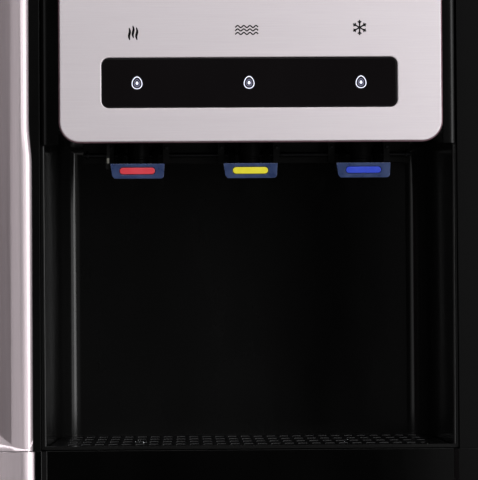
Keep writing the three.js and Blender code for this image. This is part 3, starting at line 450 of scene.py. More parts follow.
def prism_mesh(name, outlines, plane, low, high, bevel=0.0, rounds=2):
    """A plate from closed outlines, the inner ones being holes, with rounded rims.

    It is filled as a curve, from the low to the high end of the plane's depth."""
    curve = bpy.data.curves.new(name, "CURVE")
    curve.dimensions = "2D"
    curve.fill_mode = "BOTH"
    curve.extrude = (high - low) / 2 - bevel
    curve.bevel_depth = bevel
    curve.bevel_resolution = rounds
    curve.offset = -bevel
    for outline in outlines:
        spline = curve.splines.new("POLY")
        spline.points.add(len(outline) - 1)
        for point, (u, v) in zip(spline.points, outline):
            point.co = (u, v, 0, 1)
        spline.use_cyclic_u = True
    holder = place_object(name, curve)
    bpy.context.view_layer.update()
    graph = bpy.context.evaluated_depsgraph_get()
    flat = bpy.data.meshes.new_from_object(holder.evaluated_get(graph), depsgraph=graph)
    bpy.data.objects.remove(holder)
    bpy.data.curves.remove(curve)
    sheet = bmesh.new()
    sheet.from_mesh(flat)
    bpy.data.meshes.remove(flat)
    turn = AXES[plane]
    middle = (low + high) / 2
    for vertex in sheet.verts:
        u, v, w = vertex.co
        vertex.co = Vector(turn(u, v, w + middle))
    bmesh.ops.remove_doubles(sheet, verts=sheet.verts, dist=TOUCH)
    bmesh.ops.recalc_face_normals(sheet, faces=sheet.faces)
    return as_mesh(name, sheet)


def joined(name, meshes):
    """Several meshes as one."""
    sheet = bmesh.new()
    for mesh in meshes:
        sheet.from_mesh(mesh)
        bpy.data.meshes.remove(mesh)
    return to_mesh(name, sheet)


def arc(u, v, radius, start, end, steps):
    """Points on a circle about (u, v), between two angles in degrees."""
    points = []
    for k in range(steps + 1):
        angle = math.radians(start + (end - start) * k / steps)
        points.append((u + radius * math.cos(angle), v + radius * math.sin(angle)))
    return points


def rounded_rect(u0, u1, v0, v1, radius, steps=8):
    left, right, low, high = u0 + radius, u1 - radius, v0 + radius, v1 - radius
    points = []
    for k, (u, v) in enumerate(((right, low), (right, high), (left, high), (left, low))):
        points += arc(u, v, radius, 90 * k - 90, 90 * k, steps)
    return points


def front_rect(low, high, margin, corner, steps=8):
    """The outline of a box seen from the front, with rounded corners, grown by a margin."""
    left, right = low[0] - margin, high[0] + margin
    return rounded_rect(left, right, low[2] - margin, high[2] + margin, corner + margin, steps)


def circle(u, v, radius, steps=40):
    return arc(u, v, radius, 0, 360, steps)[:-1]


def rounded_box_mesh(name, low, high, radius, segments=3):
    sheet = bmesh.new()
    bmesh.ops.create_cube(sheet, size=1.0)
    for vertex in sheet.verts:
        vertex.co = Vector(low[k] if vertex.co[k] < 0 else high[k] for k in range(3))
    edges = list(sheet.edges)
    bmesh.ops.bevel(sheet, geom=edges, offset=radius, segments=segments, profile=0.5, affect="EDGES")
    return as_mesh(name, sheet)


def bridge(sheet, rings):
    """Fills the strips between rings of points. A ring may be a single point, as on a lathe's axis."""
    for lower, upper in zip(rings, rings[1:]):
        for k in range(max(len(lower), len(upper))):
            corners = [lower[k % len(lower)], lower[(k + 1) % len(lower)]]
            corners += [upper[(k + 1) % len(upper)], upper[k % len(upper)]]
            unique = list(dict.fromkeys(corners))
            if len(unique) > 2:
                sheet.faces.new(unique)


def lathe_mesh(name, profile, centre, axis="z", steps=56):
    """A profile of (radius, height) points turned about an axis through centre.

    It starts and ends on the axis, or else ends where it starts."""
    sheet = bmesh.new()
    rings = []
    for radius, height in profile:
        if radius == 0:
            rings.append([sheet.verts.new((0, 0, height))])
            continue
        ring = [(u, v, height) for u, v in circle(0, 0, radius, steps)]
        rings.append([sheet.verts.new(point) for point in ring])
    bridge(sheet, rings)
    for vertex in sheet.verts:
        x, y, z = vertex.co
        if axis == "x":
            x, y, z = z, x, y
        elif axis == "y":
            x, y, z = y, z, x
        vertex.co = Vector((x + centre[0], y + centre[1], z + centre[2]))
    bmesh.ops.recalc_face_normals(sheet, faces=sheet.faces)
    return as_mesh(name, sheet)


def smooth_path(points, steps):
    """Points on a Catmull-Rom curve through the given ones."""
    knots = [Vector(p) for p in points]
    knots = [2 * knots[0] - knots[1]] + knots + [2 * knots[-1] - knots[-2]]
    path = []
    for k in range(1, len(knots) - 2):
        a, b, c, d = knots[k - 1 : k + 3]
        second = 2 * a - 5 * b + 4 * c - d
        third = 3 * b - a - 3 * c + d
        for step in range(steps):
            t = step / steps
            path.append(0.5 * (2 * b + (c - a) * t + second * t**2 + third * t**3))
    path.append(knots[-2])
    return path


def tube_mesh(name, path, radius, sides=16):
    """A round tube with closed ends along a path, its section carried without twist."""
    sheet = bmesh.new()
    rings = []
    side = None
    for k, point in enumerate(path):
        ahead = path[min(k + 1, len(path) - 1)] - path[max(k - 1, 0)]
        ahead.normalize()
        if side is None:
            side = ahead.orthogonal().normalized()
        side = (side - ahead * side.dot(ahead)).normalized()
        other = ahead.cross(side)
        ring = []
        for n in range(sides):
            angle = 2 * math.pi * n / sides
            ring.append(sheet.verts.new(point + radius * (side * math.cos(angle) + other * math.sin(angle))))
        rings.append(ring)
    bridge(sheet, rings)
    sheet.faces.new(rings[0])
    sheet.faces.new(rings[-1])
    bmesh.ops.recalc_face_normals(sheet, faces=sheet.faces)
    return as_mesh(name, sheet)


def ribbon(points, widths):
    """A stroke of varying width as a closed outline."""
    left, right = [], []
    for k, (u, v) in enumerate(points):
        before = points[max(k - 1, 0)]
        after = points[min(k + 1, len(points) - 1)]
        du, dv = after[0] - before[0], after[1] - before[1]
        length = math.hypot(du, dv)
        nu, nv = -dv / length * widths[k] / 2, du / length * widths[k] / 2
        left.append((u + nu, v + nv))
        right.append((u - nu, v - nv))
    return left + right[::-1]


def screw_mesh(name, centre, facing, radius):
    """A domed screw head and the two dark bars of its cross recess, facing along an axis such as -y."""
    axis = facing[1]
    along = "xyz".index(axis)
    across = [k for k in range(3) if k != along]
    sign = -1 if facing[0] == "-" else 1
    rise = radius * 0.45
    top = centre[along] + sign * rise
    half_width, half_length, sunk, proud = radius * 0.16, radius * 0.62, 0.2, 0.05
    profile = [(0, 0), (radius, 0), (radius, 0.25 * rise)]
    profile += [(radius * math.cos(a), rise * (0.25 + 0.75 * math.sin(a))) for a in (0.3, 0.6, 0.9, 1.2)]
    profile += [(radius * 0.18, rise), (0, rise)]
    head = lathe_mesh(name, [(r, sign * h) for r, h in profile], centre, axis, 28)
    slots = []
    for long_way in across:
        size = [half_width] * 3
        size[long_way] = half_length
        low = [centre[k] - size[k] for k in range(3)]
        high = [centre[k] + size[k] for k in range(3)]
        low[along], high[along] = sorted((top - sign * sunk, top + sign * proud))
        slots.append(rounded_box_mesh(name + "_slot", low, high, 0.04, 1))
    return head, slots


def screws(name, places, facing, radius, material=None):
    """Screws at several places, as one piece for the heads and one for their dark recesses."""
    heads, recesses = [], []
    for place in places:
        head, slots = screw_mesh(name, place, facing, radius)
        heads.append(head)
        recesses += slots
    finish_piece(name, joined(name, heads), "steel", material=material)
    name += "_recess"
    finish_piece(name, joined(name, recesses), "satin_black")


# ---------- control head
PRINT = 0.06  # thickness of printed marks
PRINT_SINK = 0.05  # how far a mark's back lies inside what it is printed on
PRINT_STEP = 0.001  # between a mark's strokes, so that no two share a face


def on_face(name, outlines, front, slot, material=None):
    """Thin marks on a face that looks to -Y, as one piece."""
    made = []
    for k, outline in enumerate(outlines):
        lift = PRINT + PRINT_STEP * k
        made.append(prism_mesh(name, outline, "front", front - lift, front + PRINT_SINK))
    return finish_piece(name, joined(name, made), slot, material=material)


def fascia():
    """The steel plate, the rim round it, whose dark mauve steel is painted shade on the plate's rolled edge,
    and the lens in its window.

    It returns the y of the plate's front and of the lens's."""
    low, high = box_mm("control_fascia")
    lens_low, lens_high = box_mm("indicator_window")
    corner, lens_corner = 12.3, 4.3
    gap = 0.3  # between the lens and the plate
    out, under, back = 0.75, 0.3, 1.1  # how far the rim stands out, reaches in and lies back
    outer = front_rect(low, high, 0, corner, 12)
    hole = front_rect(lens_low, lens_high, gap, lens_corner)
    plate = prism_mesh("fascia_plate", [outer, hole], "front", low[1], high[1], 0.7, 3)
    finish_piece("fascia_plate", plate, "fascia_steel", ["control_fascia"])
    ring = [front_rect(low, high, out, corner, 12), front_rect(low, high, -under, corner, 12)]
    rim = prism_mesh("fascia_rim", ring, "front", low[1] + back, high[1], 0.5, 3)
    # The rim's dark mauve colour is painted shade, standing in for the plate's rolled edge in shadow.
    finish_piece("fascia_rim", rim, "fascia_steel", material="rim_steel_painted_shade")
    lens = front_rect(lens_low, lens_high, 0, lens_corner)
    glass = prism_mesh("window_lens", [lens], "front", lens_low[1], lens_high[1], 0.6, 3)
    finish_piece("window_lens", glass, "window", ["indicator_window"])
    return low[1], lens_low[1]


def egg(u, v, width, height, steps=48):
    """An egg-shaped outline: a rounded narrow top, and widest a little below the middle."""
    taper, widest = 0.17, 1.014  # widest is what the taper makes of a radius of 1
    points = []
    for k in range(steps):
        angle = 2 * math.pi * k / steps
        narrow = (1.0 - taper * math.sin(angle)) / widest
        points.append((u + 0.5 * width * math.cos(angle) * narrow, v + 0.5 * height * math.sin(angle)))
    return points


def indicator_marks(front):
    """Each light: a bright egg-shaped ring, a dim ring inside it and a bright core."""
    for name in TAPS:
        low, high = box_mm(f"indicator_{name}")
        x, z = (low[0] + high[0]) / 2, (low[2] + high[2]) / 2
        rim = [egg(x, z, 6.7, 7.9), egg(x, z - 0.05, 5.6, 6.75)]
        made = on_face(f"indicator_rim_{name}", [rim], front, "lamp")
        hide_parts(f"indicator_{name}")
        ring = [egg(x, z - 0.15, 3.9, 4.7), egg(x, z - 0.15, 3.0, 3.7)]
        on_face(f"indicator_ring_{name}", [ring], front, "lamp", "lamp_grey")
        on_face(f"indicator_core_{name}", [[egg(x, z - 0.2, 1.8, 2.2, 28)]], front, "lamp")


def stroke(start, end, width):
    return [ribbon([start, end], [width, width])]


def heat_symbol(front):
    """Three wisps that rise and sway, each swollen in the middle."""
    sway, thin, swell, steps = 0.27, 0.3, 1.25, 24
    wisps = []
    for x, low, high in ((-73.5, 942.0, 949.6), (-71.2, 943.2, 950.9), (-69.0, 942.0, 949.8)):
        points, widths = [], []
        for step in range(steps + 1):
            t = step / steps
            points.append((x + sway * math.sin(2.5 * math.pi * (t - 0.5)), low + t * (high - low)))
            widths.append(thin + swell * math.sin(math.pi * (0.03 + 0.94 * t)) ** 0.8)
        wisps.append([ribbon(points, widths)])
    on_face("symbol_heat", wisps, front, "satin_black", "print_black")


def waves_symbol(front):
    """Three lines of ripples, one over another."""
    left, right, crest, period = -8.0, 6.3, -6.4, 3.8
    rise, width, steps = 0.62, 0.78, 60
    waves = []
    for z in (950.1, 948.0, 945.8):
        points = []
        for step in range(steps + 1):
            x = left + (right - left) * step / steps
            points.append((x, z + rise * math.cos(2 * math.pi * (x - crest) / period)))
        waves.append([ribbon(points, [width] * len(points))])
    on_face("symbol_waves", waves, front, "satin_black", "print_black")


def snow_symbol(front):
    """A snowflake: six arms, each with a knot and two side prongs."""
    x, z = 69.3, 949.2
    reach, knot, prong = 4.7, 3.1, 1.35  # an arm's length, where its knot is, and a prong's length
    hub_radius, knot_radius, arm_width, prong_width = 0.9, 0.7, 0.88, 0.76
    marks = [[circle(x, z, hub_radius, 20)]]
    for k in range(6):
        angle = math.radians(90 + 60 * k)
        along = (math.cos(angle), math.sin(angle))
        joint = (x + knot * along[0], z + knot * along[1])
        marks.append(stroke((x, z), (x + reach * along[0], z + reach * along[1]), arm_width))
        marks.append([circle(*joint, knot_radius, 16)])
        for turn in (-60, 60):
            side = angle + math.radians(turn)
            tip = (joint[0] + prong * math.cos(side), joint[1] + prong * math.sin(side))
            marks.append(stroke(joint, tip, prong_width))
    on_face("symbol_snow", marks, front, "satin_black", "print_black")


# ---------- taps
ROD_Y, ROD_Z = -136.0, 873.0  # the axis that the levers turn on
LEVER_HALF = 16.75  # half the width of a lever's lip
LEVER_TOP = 865.2


def lever_lip(name, x, seat):
    """The navy lip: its left edge leans in to a chamfer, its right edge ends in a round corner."""
    low, _ = box_mm(f"lever_{name}")
    front, bottom = low[1], low[2]
    left, right = x - LEVER_HALF, x + LEVER_HALF
    lean, chamfer, lean_right, corner = 1.1, 1.6, 0.4, 2.0
    face_back, lip_back = front + 1.2, front + 3.2
    outline = [(left, LEVER_TOP), (left + lean, bottom + chamfer), (left + lean + chamfer, bottom)]
    outline += arc(right - lean_right - corner, bottom + corner, corner, -90, 0, 6)
    outline += [(right, LEVER_TOP)]
    face = prism_mesh("lip", [outline, seat], "front", front, face_back, 0.35, 2)
    backing = prism_mesh("backing", [outline], "front", face_back - 0.05, lip_back, 0.2, 1)
    whole = joined("lip", [face, backing])
    finish_piece(f"lever_lip_{name}", whole, "lever_navy", [f"lever_{name}"], body=f"{name}_lever")
    return lip_back


def lever_arms(name, x, lip_back):
    """The black blade behind the lip, and the two arms that run from it to the rod."""
    bottom, blade_back = 861.4, -163
    eye, arm, arm_front = 4.4, 4.0, -166  # radius of an arm's round end, its thickness and its front
    left, right = x - LEVER_HALF, x + LEVER_HALF
    low, high = (left, lip_back - 0.3, bottom), (right, blade_back, LEVER_TOP)
    parts = [rounded_box_mesh("blade", low, high, 0.5, 2)]
    for start in (x - 13.0, x + 9.0):
        limb = [(arm_front, bottom), (arm_front + 7, bottom)]
        limb += arc(ROD_Y, ROD_Z, eye, -70, 110, 14)
        limb += [(arm_front, LEVER_TOP)]
        parts.append(prism_mesh("limb", [limb], "side", start, start + arm, 0.4, 2))
    whole = joined("arms", parts)
    body = f"{name}_lever"
    finish_piece(f"lever_arms_{name}", whole, "satin_black", [f"lever_{name}"], "tap_black", body)


def lever(name, x):
    """A tap's lever, with the coloured marker that lies in a seat in its lip."""
    low, high = box_mm(f"marker_{name}")
    gap = 0.3  # between the marker and its seat
    corner = (high[2] - low[2]) / 2 - 0.02
    lip_back = lever_lip(name, x, front_rect(low, high, gap, corner))
    lever_arms(name, x, lip_back)
    plug = prism_mesh("pill", [front_rect(low, high, 0, corner)], "front", low[1], high[1], 0.55, 3)
    slot = {"hot": "marker_red", "room": "marker_yellow", "cold": "marker_blue"}[name]
    finish_piece(f"marker_pill_{name}", plug, slot, [f"marker_{name}"], body=f"{name}_lever")


def faucet(name, x):
    """A valve above the bay's ceiling with its hose barb, and the nozzle that hangs into the bay."""
    node = f"faucet_{name}"
    low, high = box_mm(node)
    tip, end = low[2], high[2]
    y, ceiling = -150.0, 886.7
    nozzle = [(0, tip + 6), (3.2, tip + 6), (3.2, tip + 0.4), (3.6, tip), (5.0, tip), (5.5, tip + 0.6)]
    nozzle += [(6.1, tip + 4.6), (6.75, tip + 5.4), (6.75, tip + 12), (6.2, tip + 12.4), (6.2, tip + 13.6)]
    nozzle += [(6.75, tip + 14), (6.75, ceiling), (0, ceiling)]
    turned = lathe_mesh("nozzle", nozzle, (x, y, 0))
    finish_piece(f"nozzle_{name}", turned, "gloss_black", [node], "nozzle_black")
    parts = [rounded_box_mesh("valve", (x - 13, y - 14, ceiling), (x + 13, y + 16, 904), 2.2)]
    parts.append(rounded_box_mesh("cap", (x - 11, y - 12, 903.8), (x + 11, y + 14, 908), 1.4))
    barb = [(0, 907), (4, 907), (4, 908.4), (3.2, 910), (4, 910), (3.2, 912), (4, 912)]
    barb += [(3.3, end), (0, end)]
    parts.append(lathe_mesh("barb", barb, (x, y, 0), steps=32))
    finish_piece(f"valve_{name}", joined("faucet", parts), "satin_black", [node], "tap_black")
    collar = [(6.9, 884.2), (9.2, 884.2), (9.2, 882.6), (8.4, 881.8), (6.9, 881.8), (6.9, 884.2)]
    turned = lathe_mesh("collar", collar, (x, y, 0))
    finish_piece(f"nozzle_collar_{name}", turned, "satin_black", material="tap_black")


def lever_bearings():
    """The rail and rod that carry the levers, small screws beside these, and clips on the rod's ends."""
    dress("lever_rail", 0.4, material="tap_black")
    dress("lever_rod", 0.0, material="dark_steel", sharp=80)
    places = [(x + side * 17.5, -140.4, 877.4) for x in TAPS.values() for side in (-1, 1)]
    screws("pivot_screws", places, "-y", 1.25, "dark_steel")
    clips = []
    for side in (-1, 1):
        low, high = sorted((side * 100.6, side * 102.2))
        ring = [(0, low), (2.5, low), (2.7, low + 0.3), (2.7, high - 0.3), (2.5, high), (0, high)]
        clips.append(lathe_mesh("clip", ring, (0, ROD_Y, ROD_Z), "x", 28))
    finish_piece("rod_clips", joined("rod_clips", clips), "steel", material="dark_steel")


def child_lock():
    """The button beside the hot lever, with a small grey tip."""
    dress("hot_lock", 0.3, 3, material="tap_black")
    low, high = box_mm("hot_lock")
    half, bottom, top = 0.75, 865.6, 868.9
    x = (low[0] + high[0]) / 2 + 0.1
    front = low[1]
    tip = rounded_box_mesh("lock_tip", (x - half, front - 0.4, bottom), (x + half, front + 1, top), 0.3)
    finish_piece("lock_tip", tip, "satin_black", material="lock_grey", body="child_lock")


def taps():
    for name, x in TAPS.items():
        lever(name, x)
        faucet(name, x)
    lever_bearings()
    child_lock()


# ---------- casing
EDGES = {  # how far the edges of each plain part are rounded
    "left_side_panel": 0.6,
    "right_side_panel": 0.6,
    "base_pan": 0.6,
    "mid_deck": 0.5,
    "tank_shelf": 0.5,
    "rear_panel": 0.25,
    "compartment_back": 0.5,
    "bottle_shelf": 0.8,
    "right_pillar": 0.25,
    "left_trim": 0.5,
    "door_panel": 0.5,
    "door_liner": 0.8,
    "door_trim": 0.5,
    "drip_tray": 0.5,
    "power_inlet": 0.4,
    "switch_hot": 0.6,
    "switch_cold": 0.6,
    "hinge_bottom": 0.4,
    "hinge_pin_top": 0.0,
    "door_catch": 0.5,
    "control_board": 0.2,
    "cold_tank": 0.6,
    "cold_tank_foam": 1.2,
    "hot_tank": 1.0,
    "compressor": 1.0,
    "pump": 1.0,
    "probe": 0.6,
}


def casing():
    """The parts whose form is that of their CAD solids."""
    for node, bevel in EDGES.items():
        dress(node, bevel)
    dress("top_cover", 0.6, material="cover_black")
    dress("head_shell", 0.8, material="head_black")
    dress("left_pillar", 0.25, material="pillar_black")
    dress("bay_liner", 0.8, 4, material="bay_black")
    for node in ("suction_hose", "delivery_hose", "tube_hot", "tube_room", "tube_cold"):
        dress(node, 0.0, sharp=60)


def mouth_beads():
    """The rounded edges of the bay's mouth, a little prouder than the walls."""
    y, radius = -175.9, 1.1
    foot_x, foot_z = 127.1, 690.6
    head_x, head_z = 127.7, 876.6
    beads = []
    for side in (-1, 1):
        line = [Vector((side * foot_x, y, foot_z)), Vector((side * head_x, y, head_z))]
        beads.append(tube_mesh("bead", line, radius, 20))
    both = joined("beads", beads)
    finish_piece("bay_mouth_beads", both, "gloss_black", material="bay_black", sharp=60)


def feet():
    """Four turned feet, with grooves in the tread."""
    for node in ("foot_front_left", "foot_front_right", "foot_rear_left", "foot_rear_right"):
        low, high = box_mm(node)
        centre = ((low[0] + high[0]) / 2, (low[1] + high[1]) / 2, 0)
        tread = [(0, 0.6), (4, 0.6), (4.4, 0), (8, 0), (8.4, 0.6), (11, 0.6), (11.4, 0), (15, 0), (16, 1)]
        profile = tread + [(16, 3.4), (15.2, 4.2), (13.6, 9), (13.6, 10), (13, 10.6), (13, 15), (0, 15)]
        finish_piece(f"{node}_turned", lathe_mesh("foot", profile, centre), SLOT_OF[node], [node])


def knurled(u, v, radius, depth, ribs):
    """A circle whose rim rises and falls in even ribs."""
    points = []
    steps = 6 * ribs
    for k in range(steps):
        angle = 2 * math.pi * k / steps
        reach = radius - depth * (0.5 - 0.5 * math.cos(ribs * angle))
        points.append((u + reach * math.cos(angle), v + reach * math.sin(angle)))
    return points


def drain():
    """The ribbed cap on the drain stub."""
    low, high = box_mm("drain_cap")
    x, z = (low[0] + high[0]) / 2, (low[2] + high[2]) / 2
    front, back = low[1], high[1]
    bore, floor = 9.3, 166.4  # the hollow's radius, and where it ends
    rim = knurled(x, z, 12.45, 0.9, 22)
    skirt = prism_mesh("skirt", [rim, circle(x, z, bore)], "front", front, floor, 0.3, 1)
    top = prism_mesh("top", [rim], "front", floor - 0.1, back - 0.6, 0.25, 1)
    dome = lathe_mesh("dome", [(0, 168), (10.4, 168), (10.2, back - 0.3), (0, back)], (x, 0, z), "y")
    cap = joined("cap", [skirt, top, dome])
    body = frame["nodes"]["drain_cap"]["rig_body"]
    finish_piece("drain_cap_ribbed", cap, SLOT_OF["drain_cap"], ["drain_cap"], body=body)


def louvres():
    """The lips over the vents of the back, each bent out and down."""
    first, pitch, rows, half = 668, 13, 8, 23.6
    lips = []
    for x in (-100, -40, 40, 100):
        for row in range(rows):
            z = first + pitch * row
            outline = [(148.0, z + 5.0), (149.4, z + 4.6), (150.9, z + 2.2), (151.3, z + 2.5)]
            outline += [(150.3, z + 5.2), (149.2, z + 6.4), (148.0, z + 6.9)]
            lips.append(prism_mesh("lip", [outline], "side", x - half, x + half))
    finish_piece("louvre_lips", joined("lips", lips), "galvanised", bevel=0.15)


def rear_fittings():
    """The frames round the switches, and the screws of the back."""
    bezels = []
    for x in (-118, -78):
        outer = rounded_rect(x - 13, x + 13, 981, 1015, 3)
        inner = rounded_rect(x - 9.7, x + 9.7, 984.3, 1011.7, 1)
        bezels.append(prism_mesh("bezel", [outer, inner], "front", 148.1, 150.4, 0.5, 2))
    finish_piece("switch_bezels", joined("bezels", bezels), "satin_black")
    sides = (-1, 1)
    rows = [(656, 840, 1016), (90, 340, 615)]
    screws("back_screws", [(side * 158, 149.95, z) for row in rows for side in sides for z in row], "+y", 3.4)
    screws("inlet_screws", [(105 + side * 16.4, 152.95, 998) for side in sides], "+y", 1.7)
    screws("strap_screws", [(side * 152.5, 151.75, z) for side in sides for z in (157, 559)], "+y", 2.6)


# ---------- condenser
COIL_Y = 181.0  # the plane of the tube
COIL_HALF = 110.0  # half the length of a straight run
COIL_FIRST = 132.0  # height of the lowest run
PIPE_END = 140  # y of the copper pipes' ends, inside the casing


def coil():
    """A serpentine tube: straight runs, joined by half circles."""
    radius, bend, runs, steps = 2.4, 22.0, 11, 14
    path = []
    for run in range(runs):
        z = COIL_FIRST + run * 2 * bend
        side = -1 if run % 2 else 1
        path += [Vector((-side * COIL_HALF, COIL_Y, z)), Vector((side * COIL_HALF, COIL_Y, z))]
        if run == runs - 1:
            break
        for u, v in arc(COIL_HALF, z + bend, bend, -90, 90, steps)[1:-1]:
            path.append(Vector((side * u, COIL_Y, v)))
    tube = tube_mesh("coil", path, radius)
    finish_piece("condenser_coil", tube, "enamel", ["condenser"], sharp=70)


def wires():
    """Two layers of thin upright wires, one on each side of the tube."""
    first, pitch, columns = -104, 8, 27
    low, high, radius, lift = 116, 588, 0.85, 3.15
    layers = []
    for column in range(columns):
        x = first + pitch * column
        for y in (COIL_Y - lift, COIL_Y + lift):
            layers.append(tube_mesh("wire", [Vector((x, y, low)), Vector((x, y, high))], radius, 8))
    finish_piece("condenser_wires", joined("wires", layers), "enamel", ["condenser"], sharp=60)


def straps():
    """Four folded straps that hold the condenser: a bar, a leg and a tab that is screwed to the casing."""
    width, outer = 14, 161.2
    folds = {  # from x to the outer edge, the lowest and highest y, and the rounding of the edges
        "strap": (104, 175, 177.1, 0.35),
        "leg": (158.8, 150.3, 176, 0.35),
        "tab": (146.5, 150.3, 151.8, 0.3),
    }
    bent = []
    for side in (-1, 1):
        for z in (150, 552):
            for name, (x, near, far, edge) in folds.items():
                left, right = sorted((side * x, side * outer))
                bent.append(rounded_box_mesh(name, (left, near, z), (right, far, z + width), edge, 2))
    finish_piece("condenser_straps", joined("straps", bent), "enamel", ["condenser"])


def pipes():
    """The two ends of the tube run up into the casing through grommets, one of them by way of a drier."""
    radius, top = 2.2, 654
    supply = [(COIL_HALF, COIL_Y, 572), (122, COIL_Y, 574), (130, 178, 592), (131, 168, 625)]
    supply += [(130, 156, 650), (128, PIPE_END, top)]
    drained = [(-COIL_HALF, COIL_Y, COIL_FIRST), (-122, COIL_Y, 134), (-136, 174, 150), (-140, 164, 190)]
    drained += [(-140, 162, 400), (-140, 162, 600), (-139, 156, 648), (-136, PIPE_END, top)]
    both = [tube_mesh("pipe", smooth_path(line, 10), radius, 14) for line in (supply, drained)]
    finish_piece("condenser_pipes", joined("pipes", both), "steel", material="copper", sharp=60)
    drier = [(0, 352), (2.8, 352), (3, 358), (8, 368), (8.4, 370), (8.4, 372), (8, 374), (8, 432), (8.4, 434)]
    drier += [(8.4, 436), (8, 438), (3, 448), (2.8, 454), (0, 454)]
    finish_piece("drier", lathe_mesh("drier", drier, (-140, 162, 0)), "steel", material="copper")
    grommets = []
    for x in (128.6, -136.9):
        ring = [(2.0, 147.6), (6, 147.6), (6, 149), (4.8, 150.2), (3, 150.6), (2.0, 150.6), (2.0, 147.6)]
        grommets.append(lathe_mesh("grommet", ring, (x, 0, 653.2), "y", 32))
    finish_piece("pipe_grommets", joined("grommets", grommets), "rubber")


# ---------- door and tray
def door_gasket():
    """The soft seal round the back of the door, in two folds, with the strips that carry it."""
    foot = [rounded_rect(-157.5, 157.5, 66, 656, 6), rounded_rect(-150, 150, 73.5, 648.5, 3)]
    lip = [rounded_rect(-156.2, 156.2, 67.3, 654.7, 5), rounded_rect(-151.3, 151.3, 72.2, 649.8, 3)]
    folds = [
        prism_mesh("foot", foot, "front", -168, -165.6, 0.9, 3),
        prism_mesh("lip", lip, "front", -165.8, -163.6, 0.9, 3),
    ]
    for low, high in ((66.4, 73.1), (648.9, 655.6)):
        folds.append(rounded_box_mesh("strip", (-130.6, -171.9, low), (130.6, -167.6, high), 0.4, 2))
    finish_piece("door_gasket", joined("gasket", folds), "rubber", material="gasket_grey", body="door")


BAY_MOUTH, BAY_DEPTH = -176.5, 156.5  # y of the bay's mouth, and the bay's depth
MOUTH_HALF, BACK_HALF = 126.8, 123.2  # half the bay's width at its mouth and at its back
GRILLE_GAP = 1.0  # between the grille and the bay's walls


def grille_half(y):
    """Half the width of the grille at a depth in the bay, whose walls draw together."""
    return MOUTH_HALF - (MOUTH_HALF - BACK_HALF) / BAY_DEPTH * (y - BAY_MOUTH) - GRILLE_GAP


def grille():
    """The slotted plate over the tray, with round corners at the back. It returns the height of its top."""
    low, high = box_mm("drip_grille")
    front, back = low[1], high[1]
    corner = 13.0
    front_half = grille_half(front)
    rear_half = grille_half(back - corner)
    outline = [(-front_half, front), (front_half, front)]
    outline += arc(rear_half - corner, back - corner, corner, 0, 90, 8)
    outline += arc(-rear_half + corner, back - corner, corner, 90, 180, 8)
    columns, pitch, width = 27, 8.6, 6.2
    rows, row_pitch, length, first = 4, 34.0, 24.0, -158.0
    slots = []
    for row in range(rows):
        y = first + row * row_pitch
        for column in range(columns):
            x = (column - columns // 2) * pitch - width / 2
            slots.append(rounded_rect(x, x + width, y, y + length, 0.8, 2))
    plate = prism_mesh("grille_plate", [outline] + slots, "plan", low[2], high[2], 0.7, 3)
    finish_piece(
        "grille_plate", plate, "satin_black", ["drip_grille"], "grille_black", "grille", sharp=30
    )
    return high[2]


def water_drops(floor):
    """A few drops of water on the grille, given by x, y and radius."""
    drops = []
    for x, y, size in ((-70.5, -120.0, 2.1), (63.5, -112.0, 1.7), (111.0, -161.0, 1.5), (-66.0, -121.0, 1.4)):
        cap = [(0, 0), (size, 0), (size * 0.95, size * 0.36), (size * 0.66, size * 0.72), (0, size * 0.86)]
        drops.append(lathe_mesh("drop", cap, (x, y, floor), steps=20))
    finish_piece("water_drops", joined("water_drops", drops), "silicone", material="water", body="grille")


# ---------- room
def light(name, place, target, size, radiance):
    """A soft rectangular lamp that looks at a point, as bright as the radiance says."""
    data = bpy.data.lights.new(name, "AREA")
    data.shape = "RECTANGLE"
    data.size, data.size_y = size
    data.energy = radiance * math.pi * size[0] * size[1]
    lamp = place_object(name, data)
    lamp.location = place
    lamp.rotation_euler = (Vector(target) - Vector(place)).to_track_quat("-Z", "Y").to_euler()


def panel(name, corners, material):
    """A flat stage panel, which isn't part of the object."""
    mesh = bpy.data.meshes.new(name)
    mesh.from_pydata(corners, [], [(0, 1, 2, 3)])
    mesh.materials.append(material)
    made = place_object(name, mesh)
    return made


def dark_card(name, left, right, low, high, material):
    """An upright panel over two points of the floor, which only reflections show."""
    corners = [(*left, low), (*right, low), (*right, high), (*left, high)]
    card = panel(name, corners, material)
    card.visible_camera = False
    card.visible_diffuse = False
    card.visible_shadow = False


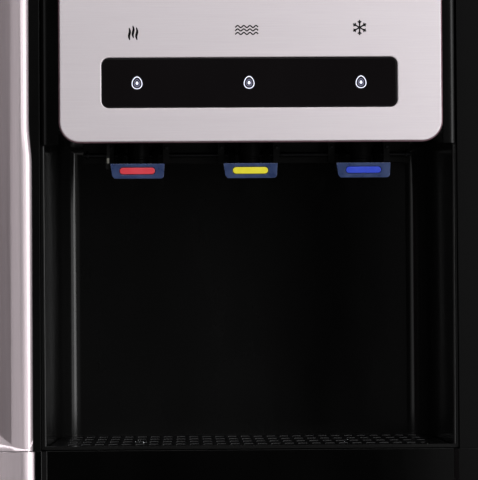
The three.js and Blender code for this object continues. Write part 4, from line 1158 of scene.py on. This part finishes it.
def room():
    paint = Surface("floor_paint", srgb(222, 221, 219), 0.7, specular=0.2)
    paint.vary_colour(paint.noise(3.0, detail=5.0), srgb(220, 219, 217), srgb(224, 223, 221))
    reach = 9.0
    corners = [(-reach, -reach, 0), (reach, -reach, 0), (reach, reach, 0), (-reach, reach, 0)]
    panel("floor", corners, paint.material)

    # Dark cards in front and to the left are what the metal and the gloss mirror there.
    black = Surface("card_black", srgb(12, 12, 12), 0.9, specular=0.1)
    black.vary_colour(black.noise(8.0), srgb(10, 10, 10), srgb(14, 14, 14))
    dark_card("front_card", (-0.75, -3.1), (0.36, -3.1), 0.18, 1.42, black.material)
    mauve = Surface("card_mauve", srgb(52, 40, 44), 0.9, specular=0.1)
    mauve.vary_colour(mauve.noise(8.0), srgb(49, 38, 42), srgb(55, 42, 46))
    dark_card("side_card", (-2.9, 0.3), (-1.35, -2.0), 0.0, 2.3, mauve.material)

    bay = (0, -0.15, 0.8)  # what every lamp looks at
    light("key", (1.6, -2.35, 1.15), bay, (0.8, 1.9), 6.9)
    light("right_strip", (2.35, -1.75, 0.95), bay, (0.75, 1.7), 2.0)
    light("left_strip", (-1.25, -2.35, 1.0), bay, (0.7, 1.7), 0.8)
    light("front_top", (0.15, -2.1, 2.5), bay, (1.8, 0.8), 3.9)
    light("left_fill", (-2.5, -0.2, 1.7), bay, (1.0, 1.4), 2.0)
    light("overhead", (0, 0.3, 3.2), bay, (1.6, 1.6), 2.5)
    light("back_left", (-1.8, 2.4, 1.6), bay, (1.2, 1.6), 2.0)
    light("back_right", (2.0, 2.2, 1.6), bay, (1.2, 1.6), 2.0)

    world = bpy.data.worlds.new("studio")
    world.use_nodes = True
    background = world.node_tree.nodes["Background"]
    background.inputs["Color"].default_value = (0.9, 0.89, 0.9, 1.0)
    background.inputs["Strength"].default_value = 0.3
    bpy.context.scene.world = world
    bpy.context.scene.view_settings.view_transform = "Standard"


place_camera()
fascia_front, window_front = fascia()
indicator_marks(window_front)
heat_symbol(fascia_front)
waves_symbol(fascia_front)
snow_symbol(fascia_front)
taps()
casing()
mouth_beads()
feet()
drain()
louvres()
rear_fittings()
coil()
wires()
straps()
pipes()
door_gasket()
water_drops(grille())
room()
